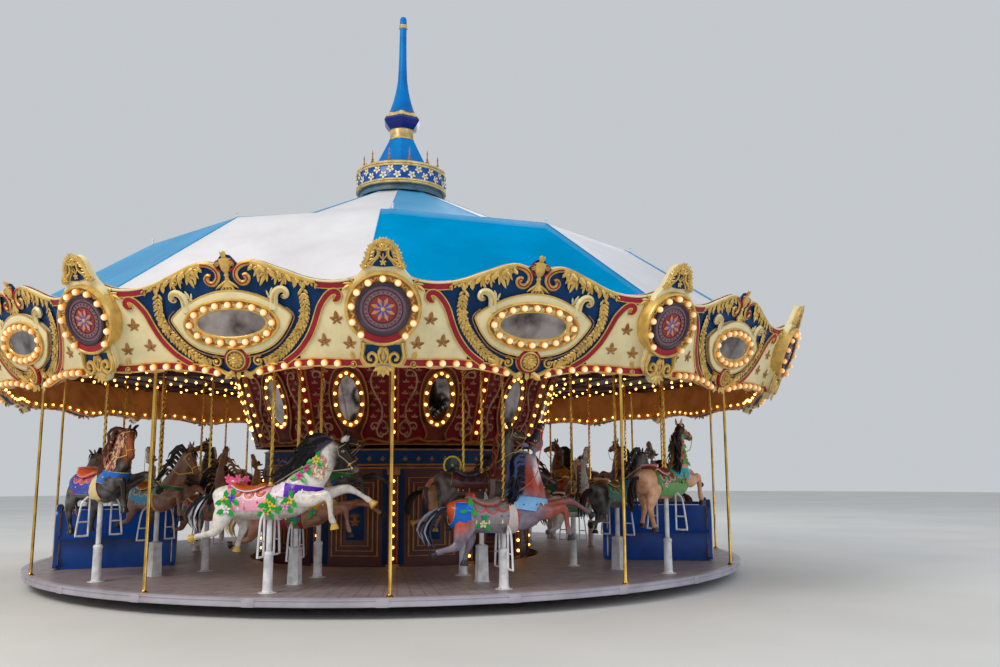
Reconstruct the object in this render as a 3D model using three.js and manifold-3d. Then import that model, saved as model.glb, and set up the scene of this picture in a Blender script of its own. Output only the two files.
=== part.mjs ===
// Three-row fairground carousel, in millimetres, +Z up, standing on z = 0 with its axis on the Z axis.
// Azimuths are degrees from -Y towards +X, so corner 0 of the twelve-sided roof points along -Y.

import * as THREE from 'three';
import { mergeVertices } from 'three/addons/utils/BufferGeometryUtils.js';
import Module from 'manifold-3d';

// Driving dimensions
const BAYS = 12;
const BAY_ANGLE = 360 / BAYS;
const SEAT_GAP = 0.3;

const DECK_RADIUS = 5490;
const DECK_INNER_RADIUS = 2330;
const DECK_TOP = 230;
const DECK_THICKNESS = 100;
const ROD_RADIUS = 19;
const ROD_CIRCLE = 5430;
const ROD_TURN = 0.8;
const ROD_SOCKET = 20;

const CEILING_BOTTOM = 3200;
const CEILING_TOP = 3300;
const HUB_RADIUS = 350;
const MAST_RADIUS = 150;
const MAST_FOOT_RADIUS = 380;
const MAST_FOOT_TOP = 200;
const MAST_COLLAR_RADIUS = 260;
const MAST_COLLAR_HEIGHT = 120;
const HUB_BOTTOM = 3050;
const HUB_TOP = 3560;
const BEARING_CLEARANCE = 6;

const PLINTH_RADIUS = 2240;
const PLINTH_TOP = 120;
const HOUSING_RADIUS = 2180;
const HOUSING_TOP = 1880;
const HOUSING_WALL = 60;

const DRUM_BOTTOM = 1930;
const DRUM_BOTTOM_RADIUS = 2310;
const DRUM_TOP_RADIUS = 2740;
const DRUM_WALL = 50;

const BOARD_LEAN = 22;
const BOARD_RADIUS = 6050;
const BOARD_HEIGHT = 3070;
const BOARD_THICKNESS = 45;
const BOARD_LAP = 2;
const BOARD_TOP_EDGE = [[1200, 390], [770, 455], [400, 600], [200, 645], [130, 620]];
const BOARD_CREST = [0, 740];
const BOARD_FOOT_EDGE = [[180, -570], [530, -475], [1150, -480]];
const RIM_RADIUS = 6200;
const RIM_WALL = 50;
const SHIELD_RADIUS = 390;
const SHIELD_LIFT = 140;
const SHIELD_SINK = 35;
const SHIELD_EDGE = 90;
const SHIELD_DOME = 160;
const SHIELD_SIDES = 8;
const SHIELD_BACKING = [[-230, -320], [0, -590], [230, -320], [230, 500], [0, 800], [-230, 500]];
const OVAL_HALF_LENGTH = 600;
const OVAL_HALF_HEIGHT = 300;
const OVAL_SIDES = 8;
const OVAL_LIFT = 30;
const OVAL_STAND = 70;
const OVAL_SINK = 5;

const CANOPY_EAVE = [RIM_RADIUS, 3430];
const CANOPY_KNEE = [4120, 4870];
const CANOPY_WAIST = [2500, 5350];
const CANOPY_CROWN = [700, 6220];
const CANOPY_THICKNESS = 40;

const CROWN_RADIUS = 790;
const CROWN_COLLAR = [740, 6330];
const CROWN_BASE = CANOPY_CROWN[1] + SEAT_GAP;
const CROWN_TOP = 6700;
const CROWN_EYE = 560;
const CROWN_LID = [330, 60];
const PINNACLE_HEIGHT = 330;
const PINNACLE_INSET = 130;
const SPIRE_SIDES = 6;
const SPIRE_PROFILE = [
  [560, CROWN_TOP + SEAT_GAP], [420, 6950], [232, 7325], [232, 7510], [355, 7665],
  [315, 7730], [245, 7815], [205, 7920], [130, 8190], [85, 8460], [64, 9100], [64, 9640], [0, 9690],
];

// Horses hang in three rows, one to a bay, and rise and fall with the crank overhead.
// Their cranks have three throws, a third of a turn apart, which gives the three offsets from mid-travel.
const ROWS = [
  { name: 'outer', radius: 5060, scale: 1.0, limbSides: 4 },
  { name: 'middle', radius: 4300, scale: 0.9, limbSides: 3 },
  { name: 'inner', radius: 3560, scale: 0.8, limbSides: 3 },
];
const CHARIOT_BAYS = [2, 9];
const CHARIOT_CIRCLE = 4250;
const RIDE_TURN = 0.3;
const SEAT_HEIGHT = 1142;
const CRANK_OFFSETS = [163, 3, -166];
const POLE_SIDES = 6;
const POLE_RADIUS = 23;
const POLE_TOP = 3800;
const SLEEVE_RADIUS = 30;
const SLEEVE_FOOT = 240;
const POST_BORE = 38;
const POST_HEIGHT = 450;
const POST_SINK = 5;

const FINISHES = {
  deck: { color: 0x6e6668, roughness: 0.8, metalness: 0.0 },
  ceiling: { color: 0x3a1518, roughness: 0.7, metalness: 0.0 },
  board: { color: 0xd9c99a, roughness: 0.45, metalness: 0.1 },
  canopy: { color: 0xf2f2f4, roughness: 0.6, metalness: 0.0 },
  crown: { color: 0xc79a45, roughness: 0.4, metalness: 0.5 },
  spire: { color: 0x0a7fa8, roughness: 0.25, metalness: 0.1 },
  drum: { color: 0x5a0f18, roughness: 0.5, metalness: 0.0 },
  housing: { color: 0x6b3226, roughness: 0.6, metalness: 0.0 },
  steel: { color: 0x50555a, roughness: 0.5, metalness: 0.6 },
  chariot: { color: 0x0b3f8f, roughness: 0.35, metalness: 0.0 },
  horse: { color: 0xcfc6b8, roughness: 0.35, metalness: 0.0 },
};

const wasm = await Module();
wasm.setup();

const radians = THREE.MathUtils.degToRad;

// Solids: closed meshes that can be joined and cut
function toSolid(geometry) {
  const bare = geometry.clone();
  bare.deleteAttribute('normal');
  bare.deleteAttribute('uv');
  const merged = mergeVertices(bare, 0.01);
  const points = merged.attributes.position.array;
  const corner = (i) => new THREE.Vector3(points[3 * i], points[3 * i + 1], points[3 * i + 2]);
  const faces = [];
  let volume = 0;
  for (let i = 0; i < merged.index.count; i += 3) {
    const [a, b, c] = [merged.index.getX(i), merged.index.getX(i + 1), merged.index.getX(i + 2)];
    if (a !== b && b !== c && c !== a) {
      faces.push([a, b, c]);
      volume += corner(a).dot(corner(b).cross(corner(c)));
    }
  }
  const triVerts = faces.flatMap(([a, b, c]) => (volume < 0 ? [a, c, b] : [a, b, c]));
  return new wasm.Manifold(new wasm.Mesh({
    numProp: 3,
    vertProperties: new Float32Array(points),
    triVerts: new Uint32Array(triVerts),
  }));
}

function toMesh(solid, name, finish) {
  const { vertProperties, triVerts } = solid.getMesh();
  const geometry = new THREE.BufferGeometry();
  geometry.setAttribute('position', new THREE.BufferAttribute(new Float32Array(vertProperties), 3));
  geometry.setIndex(new THREE.BufferAttribute(new Uint32Array(triVerts), 1));
  geometry.computeVertexNormals();
  const mesh = new THREE.Mesh(geometry, new THREE.MeshStandardMaterial(FINISHES[finish]));
  mesh.name = name;
  return mesh;
}

function join(solids) {
  return solids.reduce((all, next) => all.add(next));
}

// A closed profile of [radius, height] points turned round the Z axis, with a corner at azimuth 0
function turned(profile, sides) {
  const closed = [...profile, profile[0]].map(([r, z]) => new THREE.Vector2(r, z));
  return new THREE.LatheGeometry(closed, sides).rotateX(Math.PI / 2);
}

// A profile that starts and ends on the axis, turned into a solid
function spun(profile, sides) {
  const points = profile.map(([r, z]) => new THREE.Vector2(r, z));
  return new THREE.LatheGeometry(points, sides).rotateX(Math.PI / 2);
}

// An outline of [x, y] points pulled up by a height
function slab(outline, height, holes = []) {
  const shape = new THREE.Shape(outline.map(([x, y]) => new THREE.Vector2(x, y)));
  shape.holes = holes.map((hole) => new THREE.Path(hole.map(([x, y]) => new THREE.Vector2(x, y))));
  return new THREE.ExtrudeGeometry(shape, { depth: height, bevelEnabled: false, curveSegments: 4 });
}

// A limb through [x, y, z, half width, half depth] stations in upright planes along X
function limb(stations, sides) {
  const geometry = new THREE.CylinderGeometry(1, 1, 1, sides, stations.length - 1, false, Math.PI / 4);
  const position = geometry.attributes.position;
  const last = stations.length - 1;
  for (let i = 0; i < position.count; i += 1) {
    const step = Math.round((0.5 - position.getY(i)) * last);
    const before = stations[Math.max(step - 1, 0)];
    const after = stations[Math.min(step + 1, last)];
    const run = Math.hypot(after[0] - before[0], after[2] - before[2]);
    const [x, y, z, wide, deep] = stations[step];
    const across = position.getX(i) * deep;
    position.setXYZ(
      i,
      x - (across * (after[2] - before[2])) / run,
      y + position.getZ(i) * wide,
      z + (across * (after[0] - before[0])) / run,
    );
  }
  return geometry;
}

function place(solid, azimuth, radius, height) {
  const turn = new THREE.Matrix4().makeRotationZ(radians(azimuth));
  const out = new THREE.Matrix4().makeTranslation(0, -radius, height);
  return solid.transform(turn.multiply(out).elements);
}

// Twelve deck sections, each with its hanging rod and the posts that guide its horses
function horsePost(tapered) {
  const profile = tapered
    ? [[POST_BORE, 0], [100, 0], [80, POST_HEIGHT], [POST_BORE, POST_HEIGHT]]
    : [[POST_BORE, 0], [62, 0], [54, POST_HEIGHT], [POST_BORE, POST_HEIGHT]];
  return turned(profile, POLE_SIDES);
}

function deckSection(bay) {
  const bottom = DECK_TOP - DECK_THICKNESS;
  const edge = (radius) => Math.PI / BAYS - SEAT_GAP / 2 / radius;
  const outline = [];
  const arcSteps = 4;
  for (let i = 0; i <= arcSteps; i += 1) {
    const angle = edge(DECK_RADIUS) * (2 * i / arcSteps - 1);
    outline.push([DECK_RADIUS * Math.sin(angle), -DECK_RADIUS * Math.cos(angle)]);
  }
  for (let i = arcSteps; i >= 0; i -= 2) {
    const angle = edge(DECK_INNER_RADIUS) * (2 * i / arcSteps - 1);
    outline.push([DECK_INNER_RADIUS * Math.sin(angle), -DECK_INNER_RADIUS * Math.cos(angle)]);
  }
  const plate = toSolid(slab(outline, DECK_THICKNESS).translate(0, 0, bottom));
  const rodFoot = DECK_TOP - ROD_SOCKET;
  const rodLength = CEILING_BOTTOM - SEAT_GAP - rodFoot;
  const rod = toSolid(
    new THREE.CylinderGeometry(ROD_RADIUS, ROD_RADIUS, rodLength, POLE_SIDES)
      .rotateX(Math.PI / 2)
      .translate(0, 0, rodFoot + rodLength / 2),
  );
  const solids = [plate, place(rod, ROD_TURN - BAY_ANGLE / 2, ROD_CIRCLE, 0)];
  if (!CHARIOT_BAYS.includes(bay)) {
    ROWS.forEach((row, i) => {
      const post = toSolid(horsePost((bay + i) % 2 === 0));
      solids.push(place(post, RIDE_TURN, row.radius, DECK_TOP - POST_SINK));
    });
  }
  return place(join(solids), (bay + 0.5) * BAY_ANGLE, 0, 0);
}

// Ceiling plate with the hub that turns on the mast, and a hole for every horse pole
function ceiling() {
  const bore = (MAST_RADIUS + BEARING_CLEARANCE) / Math.cos(Math.PI / BAYS);
  const edge = (boardBack(CEILING_BOTTOM) - SEAT_GAP) / Math.cos(Math.PI / BAYS);
  const rimTop = CANOPY_EAVE[1] - CANOPY_THICKNESS - SEAT_GAP;
  const plate = toSolid(turned([
    [bore, HUB_BOTTOM],
    [HUB_RADIUS, HUB_BOTTOM],
    [HUB_RADIUS, CEILING_BOTTOM],
    [edge, CEILING_BOTTOM],
    [edge, CEILING_TOP],
    [RIM_RADIUS, CEILING_TOP],
    [RIM_RADIUS, rimTop],
    [RIM_RADIUS - RIM_WALL, rimTop],
    [RIM_RADIUS - RIM_WALL, CEILING_TOP],
    [HUB_RADIUS, CEILING_TOP],
    [HUB_RADIUS, HUB_TOP],
    [bore, HUB_TOP],
  ], BAYS));
  const holes = horsePlaces().map(({ azimuth, row }) => {
    const radius = POLE_RADIUS + SEAT_GAP / Math.cos(Math.PI / POLE_SIDES);
    const depth = 3 * (CEILING_TOP - CEILING_BOTTOM);
    const drill = new THREE.CylinderGeometry(radius, radius, depth, POLE_SIDES);
    return place(toSolid(drill.rotateX(Math.PI / 2)), azimuth, row.radius, CEILING_BOTTOM);
  });
  return plate.subtract(join(holes));
}

// How far out the middle of a leaning board's back lies at a height
function boardBack(height) {
  const lean = radians(BOARD_LEAN);
  return BOARD_RADIUS + (height - BOARD_HEIGHT) * Math.tan(lean) - BOARD_THICKNESS / Math.cos(lean);
}

// Leaning rounding boards, one to a side, with an oval frame each and a round shield over every joint
function boardOutline() {
  const slope = Math.sin(radians(BOARD_LEAN));
  const end = (s) => (BOARD_RADIUS + s * slope) * Math.tan(Math.PI / BAYS) + BOARD_LAP;
  const flip = (points) => points.map(([u, s]) => [-u, s]).reverse();
  const top = [[end(BOARD_TOP_EDGE[0][1]), BOARD_TOP_EDGE[0][1]], ...BOARD_TOP_EDGE];
  const foot = [...BOARD_FOOT_EDGE, [end(BOARD_FOOT_EDGE.at(-1)[1]), BOARD_FOOT_EDGE.at(-1)[1]]];
  return [...top, BOARD_CREST, ...flip(top), ...flip(foot), ...foot];
}

function ovalOutline() {
  return Array.from({ length: OVAL_SIDES }, (_, i) => {
    const angle = (2 * Math.PI * i) / OVAL_SIDES;
    return [OVAL_HALF_LENGTH * Math.cos(angle), OVAL_HALF_HEIGHT * Math.sin(angle)];
  });
}

// Moves a flat piece drawn in the board's own plane, x along and y up the slope, on to the roof's edge
function leaned(solid, azimuth, radius) {
  const matrix = new THREE.Matrix4()
    .makeRotationZ(radians(azimuth))
    .multiply(new THREE.Matrix4().makeTranslation(0, -radius, BOARD_HEIGHT))
    .multiply(new THREE.Matrix4().makeRotationX(radians(90 + BOARD_LEAN)));
  return solid.transform(matrix.elements);
}

function roundingBoards() {
  const board = slab(boardOutline(), BOARD_THICKNESS).translate(0, 0, -BOARD_THICKNESS);
  const oval = slab(ovalOutline(), OVAL_STAND + OVAL_SINK).translate(0, OVAL_LIFT, -OVAL_SINK);
  const shield = spun([
    [0, -SHIELD_SINK], [SHIELD_RADIUS, -SHIELD_SINK], [SHIELD_RADIUS, SHIELD_EDGE], [0, SHIELD_DOME],
  ], SHIELD_SIDES).rotateZ(Math.PI / SHIELD_SIDES).translate(0, SHIELD_LIFT, 0);
  const backing = slab(SHIELD_BACKING, SHIELD_SINK + SHIELD_EDGE).translate(0, 0, -SHIELD_SINK);
  const onSide = [board, oval].map(toSolid);
  const onCorner = [shield, backing].map(toSolid);
  const cornerRadius = BOARD_RADIUS / Math.cos(Math.PI / BAYS);
  const solids = [];
  for (let bay = 0; bay < BAYS; bay += 1) {
    onSide.forEach((solid) => solids.push(leaned(solid, (bay + 0.5) * BAY_ANGLE, BOARD_RADIUS)));
    onCorner.forEach((solid) => solids.push(leaned(solid, bay * BAY_ANGLE, cornerRadius)));
  }
  return join(solids);
}

// Roof skins: a steep skirt from the boards to the knee, and a cone that steepens again above its waist
function skin(slope, thickness) {
  const inside = slope.map(([radius, height]) => [radius, height - thickness]).reverse();
  return toSolid(turned([...slope, ...inside], BAYS));
}

function canopyLower() {
  return skin([CANOPY_EAVE, CANOPY_KNEE], CANOPY_THICKNESS);
}

function canopyUpper() {
  const [radius, height] = CANOPY_KNEE;
  const foot = [radius, height + CANOPY_THICKNESS + SEAT_GAP];
  return skin([foot, CANOPY_WAIST, CANOPY_CROWN], CANOPY_THICKNESS);
}

function crown() {
  const [lidEye, lidThickness] = CROWN_LID;
  const [collarRadius, collarTop] = CROWN_COLLAR;
  const ring = toSolid(turned([
    [CROWN_EYE, CROWN_BASE],
    [collarRadius, CROWN_BASE],
    [collarRadius, collarTop],
    [CROWN_RADIUS, collarTop],
    [CROWN_RADIUS, CROWN_TOP],
    [lidEye, CROWN_TOP],
    [lidEye, CROWN_TOP - lidThickness],
    [CROWN_EYE, CROWN_TOP - lidThickness],
  ], BAYS));
  const foot = CROWN_TOP - lidThickness / 2;
  const shaft = toSolid(
    new THREE.CylinderGeometry(6, 34, PINNACLE_HEIGHT, 4)
      .rotateX(Math.PI / 2)
      .translate(0, 0, foot + PINNACLE_HEIGHT / 2),
  );
  const pinnacles = Array.from({ length: BAYS }, (_, i) => (
    place(shaft, (i + 0.5) * BAY_ANGLE, CROWN_RADIUS - PINNACLE_INSET, 0)
  ));
  return join([ring, ...pinnacles]);
}

function spire() {
  return toSolid(spun([[0, SPIRE_PROFILE[0][1]], ...SPIRE_PROFILE], SPIRE_SIDES));
}

// Centre: plinth and mast that stand still, the panelled housing round the drive, and the turning drum
function plinth() {
  const eye = MAST_FOOT_RADIUS + SEAT_GAP;
  return toSolid(turned([
    [eye, 0], [PLINTH_RADIUS, 0], [PLINTH_RADIUS, PLINTH_TOP], [eye, PLINTH_TOP],
  ], BAYS));
}

function mast() {
  const seat = HUB_BOTTOM - SEAT_GAP;
  const collarFoot = seat - MAST_COLLAR_HEIGHT;
  return toSolid(spun([
    [0, 0],
    [MAST_FOOT_RADIUS, 0],
    [MAST_FOOT_RADIUS, MAST_FOOT_TOP],
    [MAST_RADIUS, MAST_FOOT_TOP + MAST_COLLAR_HEIGHT],
    [MAST_RADIUS, collarFoot - MAST_COLLAR_HEIGHT],
    [MAST_COLLAR_RADIUS, collarFoot],
    [MAST_COLLAR_RADIUS, seat],
    [MAST_RADIUS, seat],
    [MAST_RADIUS, HUB_TOP + BEARING_CLEARANCE],
    [0, HUB_TOP + BEARING_CLEARANCE],
  ], BAYS));
}

function housing() {
  const floor = PLINTH_TOP + SEAT_GAP;
  return toSolid(turned([
    [HOUSING_RADIUS - HOUSING_WALL, floor],
    [HOUSING_RADIUS, floor],
    [HOUSING_RADIUS, HOUSING_TOP],
    [HOUSING_RADIUS - HOUSING_WALL, HOUSING_TOP],
  ], BAYS));
}

function drum() {
  const top = CEILING_BOTTOM - SEAT_GAP;
  return toSolid(turned([
    [DRUM_BOTTOM_RADIUS - DRUM_WALL, DRUM_BOTTOM],
    [DRUM_BOTTOM_RADIUS, DRUM_BOTTOM],
    [DRUM_TOP_RADIUS, top],
    [DRUM_TOP_RADIUS - DRUM_WALL, top],
  ], BAYS));
}

// A chariot with two facing benches between shaped sides
const CHARIOT_SIDE = [
  [-780, 0], [780, 0], [800, 420], [840, 900], [700, 780], [560, 560], [430, 460],
  [-430, 460], [-560, 560], [-700, 780], [-840, 900], [-800, 420],
];
const CHARIOT_WIDTH = 1600;
const CHARIOT_WALL = 60;
const CHARIOT_END = [760, 800];
const BENCH = { x: 590, depth: 320, top: 400 };

function chariot() {
  const inner = CHARIOT_WIDTH - CHARIOT_WALL;
  const side = (y) => toSolid(slab(CHARIOT_SIDE, CHARIOT_WALL).rotateX(Math.PI / 2).translate(0, y, 0));
  const block = (x, length, bottom, top) => toSolid(
    new THREE.BoxGeometry(length, inner, top - bottom).translate(x, 0, (top + bottom) / 2),
  );
  const [endAt, endTop] = CHARIOT_END;
  const sunk = CHARIOT_WALL / 2;
  return join([
    side(CHARIOT_WIDTH / 2),
    side(CHARIOT_WALL - CHARIOT_WIDTH / 2),
    block(0, 2 * endAt, 0, CHARIOT_WALL),
    block(-BENCH.x, BENCH.depth, sunk, BENCH.top),
    block(BENCH.x, BENCH.depth, sunk, BENCH.top),
    block(-endAt, CHARIOT_WALL, sunk, endTop),
    block(endAt, CHARIOT_WALL, sunk, endTop),
  ]);
}

// Horses, drawn round the pole with the seat at height 0 and the head towards +X.
// The neck and the hind legs differ with the crank's throw: head high, stretched out, or nose in the air.
const BARREL = [
  [-670, 0, -150, 70, 90], [-520, 0, -165, 165, 165], [0, 0, -190, 165, 175], [290, 0, -110, 165, 215],
];
const NECKS = [
  [[380, 0, 130, 100, 170], [330, 0, 400, 72, 115], [390, 0, 560, 60, 85], [710, 0, 490, 38, 50]],
  [[510, 0, 130, 95, 165], [710, 0, 430, 72, 112], [850, 0, 410, 58, 88], [1000, 0, 215, 38, 48]],
  [[380, 0, 130, 100, 170], [320, 0, 420, 74, 115], [350, 0, 620, 58, 84], [450, 0, 820, 36, 46]],
];
const TAIL = [[-620, 0, -80, 50, 60], [-840, 0, -200, 65, 90], [-880, 0, -460, 30, 40]];
const FORE_LEGS = [
  [[400, -95, -120, 72, 105], [700, -100, -80, 45, 62], [775, -100, -380, 41, 46]],
  [[400, 95, -110, 72, 105], [900, 100, -10, 45, 60], [1120, 100, -160, 40, 44]],
];
const HIND_LEGS = [
  [[-470, -95, -220, 75, 120], [-570, -95, -460, 46, 62], [-540, -95, -690, 40, 44]],
  [[-470, -95, -220, 75, 120], [-560, -95, -470, 45, 60], [-800, -95, -540, 40, 44]],
  [[-470, -95, -220, 75, 120], [-560, -95, -470, 45, 60], [-800, -95, -540, 40, 44]],
];
const FAR_HIND_LEG = [[-450, 95, -220, 75, 120], [-350, 95, -470, 45, 60], [-400, 95, -660, 40, 44]];
const SADDLE_UNDERSIDE = -200;
const SLEEVE_SHOULDER = 20;

// Closed foot loops of tube hang under the belly on either side of the pole
const LOOP = { near: 125, far: 305, flare: 60, bottom: -760, shoulder: -330, top: -240, tube: 28 };

function stirrup(side) {
  const { near, far, flare, bottom, shoulder, top, tube } = LOOP;
  const frame = [[near, bottom], [far, bottom], [far - flare, shoulder], [near, top]];
  const hole = [
    [near + tube, bottom + tube],
    [far - tube, bottom + tube],
    [far - flare - tube, shoulder - tube],
    [near + tube, top - 3 * tube],
  ];
  const geometry = slab(frame, tube, [hole]).translate(0, 0, -tube / 2);
  const upright = new THREE.Matrix4().set(0, 0, 1, 0, side, 0, 0, 0, 0, 1, 0, 0, 0, 0, 0, 1);
  return toSolid(geometry.applyMatrix4(upright));
}

// Smaller rows sit a little lower, as their shorter riders do
function seatHeight(row, phase) {
  return DECK_TOP + SEAT_HEIGHT * (0.9 + 0.1 * row.scale) + CRANK_OFFSETS[phase];
}

function horse({ row, azimuth, phase }) {
  const seat = seatHeight(row, phase);
  const middle = seat - CRANK_OFFSETS[phase];
  const trunk = limb([...BARREL, ...NECKS[phase]], 6);
  const limbs = [TAIL, ...FORE_LEGS, HIND_LEGS[phase], FAR_HIND_LEG]
    .map((stations) => limb(stations, row.limbSides));
  const carved = join([...[trunk, ...limbs].map(toSolid), stirrup(1), stirrup(-1)])
    .scale([row.scale, row.scale, row.scale]);
  const poleTop = POLE_TOP - middle;
  const sleeveFoot = DECK_TOP + SLEEVE_FOOT - middle;
  const pole = toSolid(spun([
    [0, sleeveFoot],
    [SLEEVE_RADIUS, sleeveFoot],
    [SLEEVE_RADIUS, SADDLE_UNDERSIDE],
    [POLE_RADIUS, SADDLE_UNDERSIDE + SLEEVE_SHOULDER],
    [POLE_RADIUS, poleTop],
    [0, poleTop],
  ], POLE_SIDES));
  return place(carved.add(pole), azimuth, row.radius, seat);
}

function horsePlaces() {
  return ROWS.flatMap((row, rowIndex) => {
    const bays = Array.from({ length: BAYS }, (_, bay) => bay);
    return bays.filter((bay) => !CHARIOT_BAYS.includes(bay)).map((bay) => ({
      row,
      bay,
      phase: (bay + 2 + rowIndex) % CRANK_OFFSETS.length,
      azimuth: (bay + 0.5) * BAY_ANGLE + RIDE_TURN,
    }));
  });
}

// The whole ride
const carousel = new THREE.Group();
const label = (number) => String(number + 1).padStart(2, '0');

carousel.add(toMesh(plinth(), 'base_plinth', 'steel'));
carousel.add(toMesh(mast(), 'centre_mast', 'steel'));
carousel.add(toMesh(housing(), 'centre_housing', 'housing'));
carousel.add(toMesh(drum(), 'upper_drum', 'drum'));
carousel.add(toMesh(ceiling(), 'ceiling', 'ceiling'));
carousel.add(toMesh(roundingBoards(), 'rounding_boards', 'board'));
carousel.add(toMesh(canopyLower(), 'canopy_lower', 'canopy'));
carousel.add(toMesh(canopyUpper(), 'canopy_upper', 'canopy'));
carousel.add(toMesh(crown(), 'crown', 'crown'));
carousel.add(toMesh(spire(), 'spire', 'spire'));
for (let bay = 0; bay < BAYS; bay += 1) {
  carousel.add(toMesh(deckSection(bay), `deck_section_${label(bay)}`, 'deck'));
}
CHARIOT_BAYS.forEach((bay, i) => {
  const azimuth = (bay + 0.5) * BAY_ANGLE + RIDE_TURN;
  const solid = place(chariot(), azimuth, CHARIOT_CIRCLE, DECK_TOP + SEAT_GAP);
  carousel.add(toMesh(solid, `chariot_${label(i)}`, 'chariot'));
});
for (const spot of horsePlaces()) {
  carousel.add(toMesh(horse(spot), `horse_${spot.row.name}_${label(spot.bay)}`, 'horse'));
}

export default carousel;
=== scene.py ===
"""Fairground carousel: the visual model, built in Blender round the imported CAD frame.

Lengths are metres. Azimuths are degrees from -Y towards +X, as in the CAD source, and roof corner 0 points along -Y.
Board shapes are drawn in the board's own plane: u along it, s up its slope, t out of its face.
"""

import random
from math import atan2, ceil, cos, degrees, hypot, pi, radians, sin, tan, tau

import bmesh
import bpy
from mathutils import Matrix, Vector, noise
from mathutils.bvhtree import BVHTree


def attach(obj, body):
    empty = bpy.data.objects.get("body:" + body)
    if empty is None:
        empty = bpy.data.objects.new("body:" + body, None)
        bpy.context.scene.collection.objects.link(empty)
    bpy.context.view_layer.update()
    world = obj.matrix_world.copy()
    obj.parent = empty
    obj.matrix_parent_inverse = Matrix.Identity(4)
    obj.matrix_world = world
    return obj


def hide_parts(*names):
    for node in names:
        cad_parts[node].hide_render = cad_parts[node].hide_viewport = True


bl_info = {"name": "Fairground carousel", "version": (1, 0, 0), "blender": (4, 5, 0),
    "location": "3D View > Sidebar > Carousel",
    "description": "Builds a three-row carousel with rounding boards, jumping horses and a striped roof",
    "category": "Add Mesh"}

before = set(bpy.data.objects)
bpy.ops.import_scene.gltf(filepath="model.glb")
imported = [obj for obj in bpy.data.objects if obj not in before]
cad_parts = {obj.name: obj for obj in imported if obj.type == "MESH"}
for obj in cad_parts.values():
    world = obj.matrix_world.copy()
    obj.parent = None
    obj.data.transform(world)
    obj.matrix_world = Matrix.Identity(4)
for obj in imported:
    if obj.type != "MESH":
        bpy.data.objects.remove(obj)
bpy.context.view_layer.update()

BAYS = 12
BAY = 360 / BAYS
CORNER_STRETCH = 1 / cos(pi / BAYS)
CHARIOT_BAYS = (2, 9)
RIDE_BAYS = [bay for bay in range(BAYS) if bay not in CHARIOT_BAYS]
RIDE_TURN = 0.3
ROD_TURN = 0.8
ROWS = {"outer": (5.06, 1.0), "middle": (4.30, 0.9), "inner": (3.56, 0.8)}
CRANK_OFFSETS = (0.163, 0.003, -0.166)
SEAT_HEIGHT = 1.142


def rgb(text):
    """The linear colour of an sRGB hex value."""
    channels = [int(text[i:i + 2], 16) / 255 for i in (1, 3, 5)]
    return [c / 12.92 if c <= 0.04045 else ((c + 0.055) / 1.055) ** 2.4 for c in channels]


def length(name, default, about):
    return bpy.props.FloatProperty(name=name, description=about, default=default, unit="LENGTH")


def paint(name, default, about):
    return bpy.props.FloatVectorProperty(name=name, description=about, default=rgb(default), size=3, min=0, max=1,
        subtype="COLOR")


class CarouselSizes(bpy.types.PropertyGroup):
    """Sizes that shape the visual pieces."""
    deck_radius: length("Deck radius", 5.49, "Outer radius of the turning platform")
    deck_top: length("Deck height", 0.23, "Height of the platform's walking surface")
    rod_circle: length("Rod circle", 5.43, "Radius at which the sweep rods hang")
    ceiling_height: length("Ceiling height", 3.2, "Underside of the ceiling panels")
    board_radius: length("Board radius", 6.05, "Distance from the axis to a rounding board's face")
    board_height: length("Board height", 3.07, "Height of the middle of a rounding board")
    board_lean: bpy.props.FloatProperty(name="Board lean", description="How far the rounding boards lean out",
        default=radians(22), unit="ROTATION")
    shield_radius: length("Shield radius", 0.386, "Outer radius of the round shields over the board joints")
    globe: length("Globe radius", 0.036, "Radius of the globe lamps on the boards")
    lamp: length("Lamp radius", 0.024, "Radius of the lamps under the roof")
    canvas: length("Canvas thickness", 0.0012, "Thickness of the roof canvas")
    outer_grain: length("Carving grain, outer row", 0.016, "Mesh size on the outer horses")
    inner_grain: length("Carving grain, inner rows", 0.026, "Mesh size on the middle and inner horses")


class CarouselColours(bpy.types.PropertyGroup):
    """Colours that a repaint would change."""
    gold: paint("Gold", "#E0B860", "Gold paint on mouldings and ornament")
    # Gold in hollows is painted shade: it darkens the creases of the gold ornament, where shadow falls
    gold_painted_shade: paint("Gold in hollows", "#6E4016", "Brown glaze in the hollows of gold ornament")
    cream: paint("Cream", "#EADBA8", "Cream of the board wings and oval frames")
    navy: paint("Navy", "#00386A", "Blue ground of the rounding boards")
    burgundy: paint("Burgundy", "#A01C2E", "Red of the board bands")
    teal: paint("Teal", "#007AC6", "Spire")
    bulge: paint("Spire navy", "#02207A", "Bulge under the spire")
    canvas_blue: paint("Canvas blue", "#0090CA", "Blue gores of the roof")
    canvas_white: paint("Canvas white", "#DADADF", "White gores of the roof")
    drum: paint("Drum red", "#820E1C", "Panels of the upper drum")
    brown: paint("Drum brown", "#B0702C", "Carved surrounds of the drum")
    housing: paint("Housing red", "#5A2218", "Panels of the centre housing")
    ceiling: paint("Ceiling", "#4A1A1C", "Underside of the roof")
    # The board backs are their tan paint made lighter with painted light: the warm glow of the lamps beside them
    back: paint("Board backs", "#ECB27A", "Backs of the rounding boards")
    deck: paint("Deck", "#9C8E90", "Platform planks")
    rim: paint("Deck rim", "#B9B4C0", "Metal edge of the platform")
    chariot: paint("Chariot", "#0A4498", "Lacquer of the chariots")


def sizes():
    return bpy.context.scene.carousel_sizes


def colours():
    return bpy.context.scene.carousel_colours


# Mesh tools
WHITE = (1.0, 1.0, 1.0)
SHAPES = {}


def new_part():
    part = bmesh.new()
    part.verts.layers.float_color.new("paint")
    return part


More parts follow.
